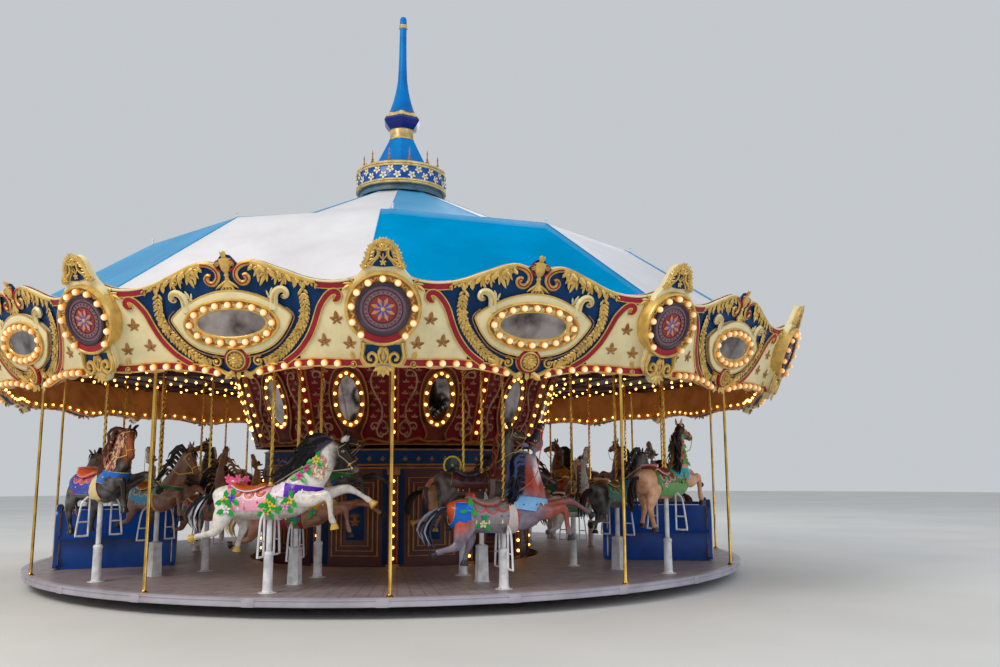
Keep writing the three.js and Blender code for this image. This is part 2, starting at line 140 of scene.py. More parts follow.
def to_mesh(part, name="shape", colour=None):
    """Turns a bmesh into a mesh and frees it. A colour is kept on its points for painted trim."""
    mesh = bpy.data.meshes.new(name)
    part.to_mesh(mesh)
    part.free()
    tint(mesh, colour)
    return mesh


def paint_layer(mesh):
    return mesh.attributes.get("paint") or mesh.attributes.new("paint", "FLOAT_COLOR", "POINT")


def tint(mesh, colour):
    if colour is not None or "paint" not in mesh.attributes:
        paint_layer(mesh).data.foreach_set("color", [*(colour or WHITE), 1] * len(mesh.vertices))


def mesh_of(shape):
    return SHAPES[shape] if isinstance(shape, str) else shape


def stamp(part, shape, matrix=None, colour=None):
    """Adds a copy of a mesh, or of an ornament named in SHAPES, to a part, placed by a matrix and in a colour."""
    copy = mesh_of(shape).copy()
    if matrix is not None:
        copy.transform(matrix)
        if matrix.determinant() < 0:
            copy.flip_normals()
    if colour is not None:
        tint(copy, colour)
    part.from_mesh(copy)
    bpy.data.meshes.remove(copy)


def merge(part, other, matrix=None, colour=None):
    """Moves another part into a part."""
    mesh = to_mesh(other)
    stamp(part, mesh, matrix, colour)
    bpy.data.meshes.remove(mesh)


def both_sides(part, mesh, matrix=None):
    """Stamps a shape and its mirror image across u = 0."""
    matrix = matrix or Matrix()
    stamp(part, mesh, matrix)
    stamp(part, mesh, Matrix.Scale(-1, 4, (1, 0, 0)) @ matrix)


def around(part):
    """Repeats what a part holds in every bay round the carousel's axis."""
    bmesh.ops.spin(part, geom=part.verts[:] + part.edges[:] + part.faces[:], cent=(0, 0, 0), axis=(0, 0, 1),
        angle=tau * (BAYS - 1) / BAYS, steps=BAYS - 1, use_duplicate=True)


def piece(part, name, body, finishes, replaces=(), sharp=35):
    """Makes the bmesh a finished piece with its finishes as materials, riding on a body."""
    mesh = bpy.data.meshes.new(name)
    part.to_mesh(mesh)
    part.free()
    for finish in finishes:
        mesh.materials.append(MATERIALS[finish])
    mesh.polygons.foreach_set("use_smooth", [True] * len(mesh.polygons))
    mesh.set_sharp_from_angle(angle=radians(sharp))
    obj = bpy.data.objects.new(name, mesh)
    bpy.context.scene.collection.objects.link(obj)
    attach(obj, body)
    if replaces:
        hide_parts(*replaces)
    return obj


def turned(degrees_round):
    return Matrix.Rotation(radians(degrees_round), 4, "Z")


def place(azimuth, radius, height):
    """Local x along the travel, y towards the axis, z up."""
    return turned(azimuth) @ Matrix.Translation((0, -radius, height))


def on_board(azimuth, radius):
    """The plane of a leaning board: local x along it, y up the slope, z out of its face."""
    return upright(azimuth, radius, sizes().board_height, sizes().board_lean)


def upright(azimuth, radius, height, lean=0.0):
    """A vertical plane facing outwards: local x along the travel, y up, z out."""
    return place(azimuth, radius, height) @ Matrix.Rotation(pi / 2 + lean, 4, "X")


def at(x, y, z=0.0, turn=0.0, scale=1.0):
    scales = scale if isinstance(scale, tuple) else (scale,) * 3
    return Matrix.Translation((x, y, z)) @ turned(turn) @ Matrix.Diagonal((*scales, 1))


def smoothed(points, steps):
    """A smooth run through control points of any length, as many steps to each span."""
    ends = [points[0], *points, points[-1]]
    run = []
    for a, b, c, d in zip(ends, ends[1:], ends[2:], ends[3:]):
        for i in range(steps):
            t = i / steps
            run.append(tuple((0.5 * (2 * q + (r - p) * t + (2 * p - 5 * q + 4 * r - s) * t ** 2
                + (3 * q - p - 3 * r + s) * t ** 3) for p, q, r, s in zip(a, b, c, d))))
    run.append(tuple(points[-1]))
    return run


def along(run, stand, wide, deep):
    """Sweep stations on plane points: all at one stand and of one section."""
    return [(u, v, stand, wide, deep) for u, v in run]


def box(left, low, right, high):
    return [(left, low), (right, low), (right, high), (left, high)]


def clipped(share):
    return min(1, max(0, share))


def turns_of(count):
    return [tau * k / count for k in range(count)]


def of_kind(items, kind):
    return [item for item in items if isinstance(item, kind)]


def through_stations(part, edges, stations):
    """Pulls a ring of edges through a row of frames and returns its last edges."""
    for was, now in zip(stations, stations[1:]):
        grown = bmesh.ops.extrude_edge_only(part, edges=edges)["geom"]
        edges = of_kind(grown, bmesh.types.BMEdge)
        bmesh.ops.transform(part, matrix=now @ was.inverted(), verts=of_kind(grown, bmesh.types.BMVert))
    return edges


def sweep(part, run, sides=8, up=(0, 0, 1), square=False, closed=False):
    """Pulls a ring along a run of (x, y, z, half width, half depth); the depth stands towards `up`."""
    points = [Vector(p[:3]) for p in run]
    last = len(points) - 1
    stretch = 1 / cos(pi / sides) if square else 1
    thinnest, nearly_along = 2e-4, 0.95
    stations = []
    standing = Vector(up)
    for i, point in enumerate(points):
        before = points[i - 1] if i or closed else point
        after = points[(i + 1) % (last + 1)] if i < last or closed else point
        ahead = (after - before).normalized()
        if abs(standing.dot(ahead)) > nearly_along * standing.length:
            standing = ahead.orthogonal()
        standing = (standing - ahead * standing.dot(ahead)).normalized()
        across = ahead.cross(standing)
        wide, deep = (max(half, thinnest) * stretch for half in run[i][3:5])
        stations.append(Matrix(((*across * wide, 0), (*standing * deep, 0), (*ahead, 0), (*point, 1))).transposed())
    tube = new_part()
    bmesh.ops.create_circle(tube, segments=sides, radius=1, matrix=stations[0] @ Matrix.Rotation(pi / sides, 4, "Z"))
    first = tube.edges[:]
    edges = through_stations(tube, first, stations)
    if closed:
        bmesh.ops.bridge_loops(tube, edges=first + edges)
    else:
        for end in (first, edges):
            bmesh.ops.contextual_create(tube, geom=end)
    bmesh.ops.recalc_face_normals(tube, faces=tube.faces)
    merge(part, tube)


def lathe(part, profile, segments, matrix=None, colour=None, closed=False):
    """Spins a profile of (radius, height) points round Z."""
    spun = new_part()
    verts = [spun.verts.new((r, 0, z)) for r, z in profile]
    edges = [spun.edges.new(pair) for pair in zip(verts, verts[1:])]
    if closed:
        edges.append(spun.edges.new((verts[-1], verts[0])))
    bmesh.ops.spin(spun, geom=verts + edges, cent=(0, 0, 0), axis=(0, 0, 1), angle=tau, steps=segments, use_merge=True)
    bmesh.ops.remove_doubles(spun, verts=spun.verts, dist=1e-5)
    bmesh.ops.recalc_face_normals(spun, faces=spun.faces)
    merge(part, spun, matrix, colour)


def plate(part, outline, low, high, bevel=0.0, matrix=None):
    """A flat panel cut to an outline, standing from low to high, with softened front edges."""
    cut = new_part()
    face = cut.faces.new([cut.verts.new((x, y, low)) for x, y in outline])
    face.normal_update()
    if face.normal.z > 0:
        face.normal_flip()
    grown = bmesh.ops.extrude_face_region(cut, geom=[face], use_keep_orig=True)["geom"]
    bmesh.ops.translate(cut, vec=(0, 0, high - low), verts=of_kind(grown, bmesh.types.BMVert))
    bmesh.ops.recalc_face_normals(cut, faces=cut.faces)
    if bevel:
        front = [e for e in cut.edges if all(abs(v.co.z - high) < 1e-6 for v in e.verts)]
        bmesh.ops.bevel(cut, geom=front, offset=bevel, offset_type="OFFSET", segments=2, profile=0.5, affect="EDGES",
            material=-1)
    merge(part, cut, matrix)


def oval_rings(part, rings, segments):
    """A moulding made of elliptical rings of (half width, half height, stand, middle height)."""
    ring = new_part()
    stations = [Matrix.Translation((0, mid, t)) @ Matrix.Diagonal((w, h, 1, 1)) for w, h, t, mid in rings]
    bmesh.ops.create_circle(ring, segments=segments, radius=1, matrix=stations[0])
    through_stations(ring, ring.edges[:], stations)
    bmesh.ops.recalc_face_normals(ring, faces=ring.faces)
    ring.normal_update()
    if sum(f.normal.z * f.calc_area() for f in ring.faces) < 0:
        bmesh.ops.reverse_faces(ring, faces=ring.faces)
    merge(part, ring)


# Ornament that is stamped many times: each is small, with few faces


def leaf_shape(rings):
    """A carved leaf one unit long, lying along +x with its tip lifted."""
    leaf = new_part()
    lying = Matrix.Translation((0.5, 0, 0)) @ Matrix.Rotation(pi / 2, 4, "Y")
    bmesh.ops.create_uvsphere(leaf, u_segments=4, v_segments=rings, radius=0.5, matrix=lying)
    for vert in leaf.verts:
        x = vert.co.x = max(0.0, min(1.0, vert.co.x)) ** 1.25
        narrow = (1 - x) ** 0.6 * (0.35 + 1.2 * x)
        vert.co.y *= 0.95 * narrow
        vert.co.z = vert.co.z * 0.4 * narrow + 0.16 * x * x
    return to_mesh(leaf)


def bead_shape():
    bead = new_part()
    bmesh.ops.create_icosphere(bead, subdivisions=1, radius=1)
    return to_mesh(bead)


def sprig_shape():
    """Three plain leaves, for motifs too small to show more."""
    sprig = new_part()
    for turn in (0, 65, -65):
        bud = new_part()
        lying = Matrix.Translation((0.45, 0, 0)) @ Matrix.Rotation(pi / 2, 4, "Y") @ Matrix.Diagonal((0.3, 0.5, 1, 1))
        bmesh.ops.create_uvsphere(bud, u_segments=4, v_segments=2, radius=0.45, matrix=lying)
        merge(sprig, bud, turned(turn))
    return to_mesh(sprig)


def rosette_shape():
    """Five petals round a boss, one unit in radius."""
    flower = new_part()
    for turn in range(18, 378, 72):
        stamp(flower, "leaf", turned(turn) @ at(0.12, 0, 0, 0, (0.9, 1.15, 0.9)))
    stamp(flower, "bead", at(0, 0, 0.08, 0, (0.24, 0.24, 0.2)))
    return to_mesh(flower)


def fleur_shape():
    """A five-leaf flower motif standing up, one unit tall."""
    motif = new_part()
    for turn, reach in ((90, 0.66), (22, 0.52), (158, 0.52), (-42, 0.4), (222, 0.4)):
        stamp(motif, "blade", at(0, 0, 0, turn, (reach, reach * 0.95, reach * 0.8)))
    stamp(motif, "bead", at(0, 0, 0.03, 0, (0.1, 0.1, 0.09)))
    return to_mesh(motif)


def acanthus_shape():
    """A spray of five leaves growing along +x, one unit long."""
    spray = new_part()
    for turn, start, reach in ((0, 0.3, 0.7), (32, 0.2, 0.56), (-32, 0.2, 0.56), (68, 0.08, 0.44), (-68, 0.08, 0.44)):
        stamp(spray, "blade", at(start, 0, 0.03, turn, (reach, reach * 0.6, reach * 0.8)))
    sweep(spray, [(0, 0, 0, 0.07, 0.05), (0.9, 0, 0.1, 0.02, 0.02)], 4)
    return to_mesh(spray)


def volute_run(turns, start, end, thick, flat):
    """A spiral that winds in to its eye at the origin."""
    count = ceil(turns * 11)
    run = []
    for i in range(count + 1):
        share = i / count
        radius = start + (end - start) * share ** 0.8
        angle = tau * turns * share
        width = thick * (1 - 0.55 * share)
        run.append((radius * cos(angle), radius * sin(angle), 0.0, width, flat * (1 + 0.25 * share)))
    return run


def volute_shape():
    """A closed scroll about one unit across, with a round eye."""
    scroll = new_part()
    sweep(scroll, volute_run(1.35, 0.5, 0.13, 0.12, 0.13), 6)
    stamp(scroll, "bead", at(0, 0, 0.05, 0, (0.15, 0.15, 0.16)))
    return to_mesh(scroll)


def globe_shape():
    """A lit globe lamp one unit in radius, whose front glows paler."""
    globe = new_part()
    warm, bright = rgb("#E8A04A"), rgb("#FFEBC0")
    bmesh.ops.create_icosphere(globe, subdivisions=2, radius=1, matrix=Matrix.Translation((0, 0, 0.9)))
    layer = globe.verts.layers.float_color["paint"]
    for vert in globe.verts:
        share = min(1, max(0, (vert.co.z - 0.9) * 1.1)) ** 1.5
        vert[layer] = (*[w + (b - w) * share for w, b in zip(warm, bright)], 1)
    return to_mesh(globe)


def lamp_shape():
    lamp = new_part()
    bmesh.ops.create_icosphere(lamp, subdivisions=1, radius=1, matrix=Matrix.Translation((0, 0, 0.7)))
    return to_mesh(lamp, colour=rgb("#FFC060"))


def cup_shape():
    cup = new_part()
    lathe(cup, [(1.3, 0), (1.1, 0.42), (0.0, 0.45)], 8)
    return to_mesh(cup)


def make_shapes():
    SHAPES["leaf"], SHAPES["blade"] = leaf_shape(3), leaf_shape(4)
    for maker in (bead_shape, sprig_shape, rosette_shape, fleur_shape, acanthus_shape, volute_shape, globe_shape,
            lamp_shape, cup_shape):
        SHAPES[maker.__name__.removesuffix("_shape")] = maker()


# Materials. Patterns read Object coordinates in metres, so a scale is one over a real size.
MATERIALS = {}
GLASS_IOR = 1.5
LACQUER_IOR = 1.47
RELIEF = 0.002
PLANKS_ROUND = 216


def feed(tree, node, inputs):
    """Sets the inputs of a node, and links every one that is given as a socket."""
    for socket, value in dict(inputs).items():
        if isinstance(value, bpy.types.NodeSocket):
            tree.links.new(value, node.inputs[socket])
        else:
            node.inputs[socket].default_value = value


def add(tree, kind, inputs=(), **settings):
    """Adds a shader node with its settings and inputs."""
    node = tree.nodes.new("ShaderNode" + kind)
    for key, value in settings.items():
        setattr(node, key, value)
    feed(tree, node, inputs)
    return node


def new_material(name):
    """A material with an empty tree, its surface shader and Object coordinates."""
    material = bpy.data.materials.new(name)
    material.use_nodes = True
    tree = material.node_tree
    tree.nodes.clear()
    shader = add(tree, "BsdfPrincipled")
    add(tree, "OutputMaterial", {"Surface": shader.outputs[0]})
    MATERIALS[name] = material
    return tree, shader, add(tree, "TexCoord").outputs["Object"]


def grain_of(where, size, detail=3.0, rough=0.55):
    """The inputs of a cloudy pattern whose patches are `size` metres across."""
    return {"Vector": where, "Scale": 1 / size, "Detail": detail, "Roughness": rough}


def blend_by(tree, factor, low, high, start=0.35, end=0.65):
    """Two colours blended where a pattern runs from start to end."""
    share = add(tree, "MapRange", {"Value": factor, "From Min": start, "From Max": end}).outputs[0]
    pair = [c if isinstance(c, bpy.types.NodeSocket) else (*c, 1) for c in (low, high)]
    return add(tree, "Mix", {"Factor": share, 6: pair[0], 7: pair[1]}, data_type="RGBA").outputs[2]


def own_colour(tree, pattern, shade, share, start=0.35, end=0.65):
    """The colour painted on each piece: as it is, and dulled where a pattern is low."""
    own = add(tree, "Attribute", attribute_name="paint").outputs["Color"]
    dull = blend_by(tree, pattern, shade, WHITE, start, end)
    return own, add(tree, "Mix", {"Factor": share, 6: own, 7: dull}, data_type="RGBA", blend_type="MULTIPLY").outputs[2]


def dress(tree, shader, base, gloss_by, rough, relief, depth):
    """Gives a shader its colour, a gloss that follows a pattern from rough to smooth, and a fine relief."""
    gloss = add(tree, "MapRange", {"Value": gloss_by, "To Min": rough[1], "To Max": rough[0]})
    bump = add(tree, "Bump", {"Height": relief, "Strength": depth, "Distance": RELIEF})
    feed(tree, shader, {"Base Color": base, "Roughness": gloss.outputs[0], "Normal": bump.outputs[0]})


def painted(name, colour, shade, patch=0.25, rough=(0.3, 0.5), metallic=0.0, coat=0.0, grain=0.004, depth=0.2,
            hollows=None, shine=0.5):
    """A brushed or sprayed paint: cloudy colour, fine brush texture, uneven gloss, and painted shade darkening the
    hollows where asked.
    """
    tree, shader, where = new_material(name)
    clouds = add(tree, "TexNoise", grain_of(where, patch)).outputs[0]
    fine = add(tree, "TexNoise", grain_of(where, grain, 2.0)).outputs[0]
    base = blend_by(tree, clouds, shade, colour, 0.3, 0.6)
    # Painted shade: where the surface curves inwards, in creases and recesses, the colour turns to the hollows colour
    if hollows is not None:
        edge = add(tree, "NewGeometry").outputs["Pointiness"]
        base = blend_by(tree, edge, hollows, base, 0.45, 0.51)
    dress(tree, shader, base, clouds, rough, fine, depth)
    feed(tree, shader, {"Metallic": metallic, "Coat Weight": coat, "Coat Roughness": 0.12, "Specular IOR Level": shine})
    if not metallic:
        feed(tree, shader, {"IOR": LACQUER_IOR})


def darker(colour, share=0.6):
    return [c * share for c in colour]


def enamel_finish(name, patch, detail, worn, rough, shine, coat, depth, stretch=None):
    """Brushed enamel on carved wood: the colour lies on each carving, mottled, under a glossy varnish."""
    tree, shader, where = new_material(name)
    if stretch:
        where = add(tree, "Mapping", {"Vector": where, "Scale": stretch}).outputs[0]
    mottle = add(tree, "TexNoise", grain_of(where, patch, *detail)).outputs[0]
    share, shade, end = worn
    base = own_colour(tree, mottle, shade, share, 0.3, end)[1]
    dress(tree, shader, base, mottle, rough, mottle, depth)
    feed(tree, shader, {"IOR": LACQUER_IOR, "Specular IOR Level": shine, "Coat Weight": coat})


def lamp_finish(name, strength):
    """Frosted glass lit from within: its own warm colour glows, a little uneven from lamp to lamp."""
    tree, shader, where = new_material(name)
    uneven = add(tree, "TexNoise", grain_of(where, 0.4, 1.0)).outputs[0]
    own, glow = own_colour(tree, uneven, (0.75, 0.66, 0.55), 1.0)
    feed(tree, shader, {"Base Color": own, "Emission Color": glow, "Emission Strength": strength, "Roughness": 0.25,
        "IOR": GLASS_IOR})


def canvas_finish(name, colour, shade):
    """Coated canvas: a close weave drawn coarse enough to show, cloudy darker patches and a soft sheen."""
    tree, shader, where = new_material(name)
    weave_pitch, waves_per_unit = 0.012, 6
    threads = [add(tree, "TexWave", {"Vector": where, "Scale": 1 / weave_pitch / waves_per_unit, "Distortion": 0.4},
        bands_direction=axis).outputs["Fac"] for axis in "XY"]
    cloth = add(tree, "Math", {0: threads[0], 1: threads[1]}, operation="MAXIMUM").outputs[0]
    clouds = add(tree, "TexNoise", grain_of(where, 0.9, 4.0, 0.6)).outputs[0]
    dress(tree, shader, blend_by(tree, clouds, shade, colour, 0.3, 0.62), clouds, (0.42, 0.6), cloth, 0.06)
    # Dull from the front, the coating shines pale where the eye skims along it
    slant = add(tree, "LayerWeight", {"Blend": 0.5}).outputs["Facing"]
    shine = add(tree, "MapRange", {"Value": slant, "From Min": 0.70, "From Max": 0.93, "To Min": 0.0, "To Max": 1.0})
    feed(tree, shader, {"Specular IOR Level": shine.outputs[0]})


def plank_finish(deck):
    """Painted ribbed planks laid along the radius, scuffed grey by shoes, with dark joints between them."""
    tree, shader, where = new_material("deck_planks")
    split = add(tree, "SeparateXYZ", {0: where})
    angle = add(tree, "Math", {0: split.outputs[1], 1: split.outputs[0]}, operation="ARCTAN2").outputs[0]
    planks = add(tree, "Math", {0: angle, 1: PLANKS_ROUND / tau}, operation="MULTIPLY").outputs[0]
    across = add(tree, "Math", {0: planks}, operation="FRACT").outputs[0]
    joint = add(tree, "Math", {0: across, 1: 0.93}, operation="GREATER_THAN").outputs[0]
    scuffs = add(tree, "TexNoise", grain_of(where, 0.18, 5.0, 0.65)).outputs[0]
    tone = blend_by(tree, scuffs, darker(deck, 0.62), deck, 0.3, 0.65)
    base = blend_by(tree, joint, tone, darker(deck, 0.3), 0.4, 0.6)
    dress(tree, shader, base, scuffs, (0.35, 0.55), scuffs, 0.2)
    feed(tree, shader, {"IOR": LACQUER_IOR})


def make_finishes():
    c = colours()
    # Gold paint on cast ornament: warm metal sheen on the high spots, and a brown painted shade darkening the hollows
    painted("gold_paint", c.gold, darker(c.gold, 0.66), 0.10, (0.26, 0.42), 0.35, 0.15, 0.003, 0.3, c.gold_painted_shade)
    # Hand-painted trim with fine brush streaks, the mottled coats of the horses, and locks streaked along their length
    worn_coat = (0.85, (0.6, 0.57, 0.55), 0.55)
    enamel_finish("painted_trim", 0.012, (3.0,), (0.75, (0.62, 0.6, 0.58), 0.6), (0.22, 0.42), 0.3, 0.12, 0.15)
    enamel_finish("horse_coat", 0.05, (4.0, 0.6), worn_coat, (0.3, 0.5), 0.22, 0.22, 0.25, (1, 1, 1))
    enamel_finish("hair_lacquer", 0.012, (4.0, 0.6), worn_coat, (0.4, 0.6), 0.22, 0.08, 0.25, (0.4, 1, 1))
    lamp_finish("globe_lamps", 0.5)
    lamp_finish("amber_lamps", 6.5)
    canvas_finish("white_canvas", c.canvas_white, darker(c.canvas_white, 0.86))
    canvas_finish("blue_canvas", c.canvas_blue, darker(c.canvas_blue, 0.78))
    # The flatter upper tier is painted paler, a painted sheen of the sky that it reflects at a grazing angle
    canvas_finish("canvas_painted_sheen", rgb("#3E9ACA"), rgb("#2A8CC0"))
    plank_finish(c.deck)
    # Sprayed enamels on glass fibre: smooth and glossy, with slow colour drift
    painted("navy_enamel", c.navy, darker(c.navy, 0.6), 0.5, (0.4, 0.55), shine=0.2)
    # Cream with a warm brown painted shade in the hollows of its frames and mouldings
    painted("cream_enamel", c.cream, darker(c.cream, 0.84), 0.22, (0.25, 0.4), coat=0.2, hollows=rgb("#B8883F"))
    painted("burgundy_enamel", c.burgundy, darker(c.burgundy, 0.65), 0.2, (0.3, 0.45), shine=0.3)
    painted("teal_gelcoat", c.teal, rgb("#0060A8"), 0.6, (0.3, 0.4), depth=0.05, shine=0.12)
    painted("navy_gelcoat", c.bulge, darker(c.bulge, 0.6), 0.3, (0.2, 0.3), coat=0.15, depth=0.05, shine=0.3)
    painted("crown_blue", rgb("#0058A8"), rgb("#003A86"), 0.12, (0.25, 0.4), coat=0.1, depth=0.05, shine=0.3)
    painted("collar_paint", rgb("#4E7488"), rgb("#35505E"), 0.2, (0.4, 0.55))
    # Board backs: tan paint lightened by painted lamplight, with painted shade in their hollows
    painted("board_back", c.back, rgb("#C88A54"), 0.4, (0.5, 0.7), hollows=rgb("#7A4622"))
    painted("ceiling_paint", c.ceiling, darker(c.ceiling, 0.6), 0.5, (0.45, 0.65))
    painted("drum_paint", c.drum, darker(c.drum, 0.55), 0.3, (0.4, 0.6), shine=0.2)
    # Carved brown and the drum frames: painted shade in their hollows
    painted("carved_brown", c.brown, darker(c.brown, 0.55), 0.15, (0.35, 0.5), 0.35, 0.1, hollows=darker(c.brown, 0.3))
    painted("frame_brown", rgb("#74301E"), rgb("#42180F"), 0.15, (0.4, 0.55), shine=0.3, hollows=rgb("#2A0E0A"))
    painted("scroll_mauve", rgb("#C49A78"), rgb("#946A4E"), 0.15, (0.35, 0.5), 0.2)
    painted("housing_paint", c.housing, darker(c.housing, 0.6), 0.3, (0.35, 0.55), coat=0.1)
    painted("deck_rim", c.rim, darker(c.rim, 0.75), 0.35, (0.35, 0.5), 0.35)
    painted("white_steel", rgb("#E4E4E6"), rgb("#B9B8BC"), 0.12, (0.25, 0.4), coat=0.3)
    painted("brass", rgb("#E3B95A"), rgb("#B08438"), 0.2, (0.18, 0.3), 0.95, 0.0, 0.002, 0.1)
    painted("base_steel", rgb("#50555A"), rgb("#2E3236"), 0.4, (0.4, 0.6), 0.4)
    painted("chariot_lacquer", c.chariot, darker(c.chariot, 0.6), 0.35, (0.15, 0.3), coat=0.25, shine=0.25)
    # Pale gold and motif gold: painted shade in their hollows
    painted("pale_gold", rgb("#E2CB8E"), rgb("#B8954E"), 0.08, (0.3, 0.45), 0.25, 0.15, 0.003, 0.3, rgb("#7A5A28"))
    painted("motif_gold", rgb("#B07C3E"), rgb("#7E4E22"), 0.05, (0.35, 0.5), 0.25, hollows=rgb("#5A3A16"))
    # Silvered glass: a near mirror, faintly hazed, its tint darker and warmer than silver, a painted reflection of the
    # dim, warm interior
    painted("mirror_glass", rgb("#A39A98"), rgb("#4A4240"), 0.3, (0.04, 0.09), 1.0, 0.0, 0.02, 0.02)
    # Stage surfaces: a pale, plain studio sweep
    painted("studio_floor", rgb("#D8D8D6"), rgb("#CFCFCD"), 3.0, (0.7, 0.85), depth=0.02)


# Operators


class CAROUSEL_OT_stage(bpy.types.Operator):
    """Floor, soft lights and the camera at the photograph's viewing angle"""
    bl_idname = "carousel.stage"
    bl_label = "Stage and camera"

    def execute(self, context):
        floor = new_part()
        bmesh.ops.create_circle(floor, cap_ends=True, segments=96, radius=60)
        mesh = to_mesh(floor, "studio_floor")
        mesh.materials.append(MATERIALS["studio_floor"])
        obj = bpy.data.objects.new("studio_floor", mesh)
        context.scene.collection.objects.link(obj)

        # Camera recovered from the photograph, its focal length in pixels of the picture
        photo_width, focal, distance, height = 1000, 896.66, 15.287, 1.527
        yaw, pitch, roll, turn = 0.1130, 0.1537, 0.00479, radians(1.5)
        data = bpy.data.cameras.new("camera")
        data.sensor_width = 36
        data.lens = focal * data.sensor_width / photo_width
        data.clip_end = 400
        camera = bpy.data.objects.new("camera", data)
        context.scene.collection.objects.link(camera)
        right = Vector((cos(yaw), -sin(yaw), 0))
        above = Vector((-sin(yaw) * sin(pitch), -cos(yaw) * sin(pitch), cos(pitch)))
        ahead = Vector((sin(yaw) * cos(pitch), cos(yaw) * cos(pitch), sin(pitch)))
        right, above = cos(roll) * right - sin(roll) * above, sin(roll) * right + cos(roll) * above
        basis = Matrix((right, above, -ahead)).transposed().to_4x4()
        camera.matrix_world = Matrix.Rotation(turn, 4, "Z") @ Matrix.Translation((0, -distance, height)) @ basis
        context.scene.camera = camera

        lit = Vector((0, 0, 2.5))
        for name, spot, size, power, tone in (("key_light", (-14, -16, 17), 9, 3300, "#FFF6EA"),
                ("fill_light", (16, -17, 9), 12, 900, "#EAF2FF"), ("back_light", (4, 18, 16), 12, 900, "#FFFFFF")):
            light = bpy.data.lights.new(name, "AREA")
            light.energy = power
            light.size = size
            light.color = rgb(tone)
            lamp = bpy.data.objects.new(name, light)
            context.scene.collection.objects.link(lamp)
            lamp.location = spot
            lamp.rotation_euler = (lit - Vector(spot)).to_track_quat("-Z", "Y").to_euler()
        world = bpy.data.worlds.new("studio")
        world.use_nodes = True
        background = world.node_tree.nodes["Background"]
        background.inputs[0].default_value = (*rgb("#E6EBF0"), 1)
        background.inputs[1].default_value = 0.7
        context.scene.world = world
        context.scene.view_settings.view_transform = "Standard"
        return {"FINISHED"}


class CAROUSEL_OT_canopy(bpy.types.Operator):
    """Striped roof canvas in twelve gores, a steep skirt and a flatter cone in one stretched sheet"""
    bl_idname = "carousel.canopy"
    bl_label = "Roof canvas"
    slope = ((6.24, 3.40), (4.12, 4.87), (2.5, 5.35), (0.70, 6.22))
    across, tier_rows = 15, (10, 8, 8)

    def execute(self, context):
        part = new_part()
        rows = sum(self.tier_rows)
        columns = self.across * BAYS
        bmesh.ops.create_grid(part, x_segments=columns, y_segments=rows, size=0.5)
        for vert in part.verts:
            vert.co = self.point(round((vert.co.x + 0.5) * columns), round((vert.co.y + 0.5) * rows))
        bmesh.ops.remove_doubles(part, verts=part.verts, dist=1e-5)
        for face in part.faces:
            middle = face.calc_center_median()
            azimuth = degrees(atan2(middle.x, -middle.y)) % 360
            # A blue gore laps over the rib on its left
            blue = not BAY <= (azimuth % (2 * BAY)) < 2 * BAY - BAY / self.across
            # Blue faces above the knee, on the flatter upper tier, take the canvas with the painted sheen
            face.material_index = (2 if middle.z > self.slope[1][1] else 1) if blue else 0
        bmesh.ops.recalc_face_normals(part, faces=part.faces)
        area = sum(f.calc_area() for f in part.faces)
        cloth = piece(part, "roof_canvas", "turntable", ("white_canvas", "blue_canvas", "canvas_painted_sheen"),
            ("canopy_lower", "canopy_upper"), sharp=60)
        wall = cloth.modifiers.new("canvas thickness", "SOLIDIFY")
        wall.thickness = sizes().canvas
        wall.offset = -1

        lugs, hems = new_part(), new_part()
        for gore in range(0, BAYS, 2):
            for azimuth in (gore * BAY - BAY / self.across, (gore + 1) * BAY):
                column = round(azimuth / BAY * self.across) % columns
                run = [(*(self.point(column, row) + Vector((0, 0, 0.002))), 0.012, 0.004) for row in range(rows + 1)]
                sweep(hems, run, 6, (sin(radians(azimuth)), -cos(radians(azimuth)), 0))
        piece(hems, "gore_hems", "turntable", ("blue_canvas",))
        knee_r, knee_z = self.slope[1]
        lathe(lugs, [(0, 0.0), (0.014, 0.0), (0.014, 0.05), (0.02, 0.055), (0.02, 0.075), (0, 0.08)], 8,
            Matrix.Translation((0, -knee_r, knee_z - 0.005)))
        around(lugs)
        piece(lugs, "knee_lugs", "turntable", ("white_steel",))
        return {"FINISHED"}

    def point(self, column, row):
        """A point of the canvas: straight between the corner ribs but for a slight sag and pull lines."""
        tier = 0
        while row > self.tier_rows[tier]:
            row -= self.tier_rows[tier]
            tier += 1
        low, high, share = self.slope[tier], self.slope[tier + 1], row / self.tier_rows[tier]
        radius = low[0] + (high[0] - low[0]) * share
        height = low[1] + (high[1] - low[1]) * share
        across = (column % self.across) / self.across
        azimuth = (column % (self.across * BAYS)) / self.across * BAY
        chord = cos(radians(BAY / 2)) / cos(radians(BAY * (across - 0.5)))
        belly = sin(pi * across) * sin(pi * share)
        sag = (0.03 if tier == 0 else 0.012) * belly * radius / 6
        angle = radians(azimuth)
        spot = Vector((radius * chord * sin(angle), -radius * chord * cos(angle), height))
        # Pull lines run from the ribs' lower ends up across the gore
        pull = sin(22 * (across - 0.25 * share)) * (1 - share) * sin(pi * across)
        ripple = 0.006 * belly * noise.noise(Vector((sin(angle) * 5, cos(angle) * 5, height * 0.7))
            * 2.2) + 0.004 * pull
        spot.z -= sag - ripple
        return spot


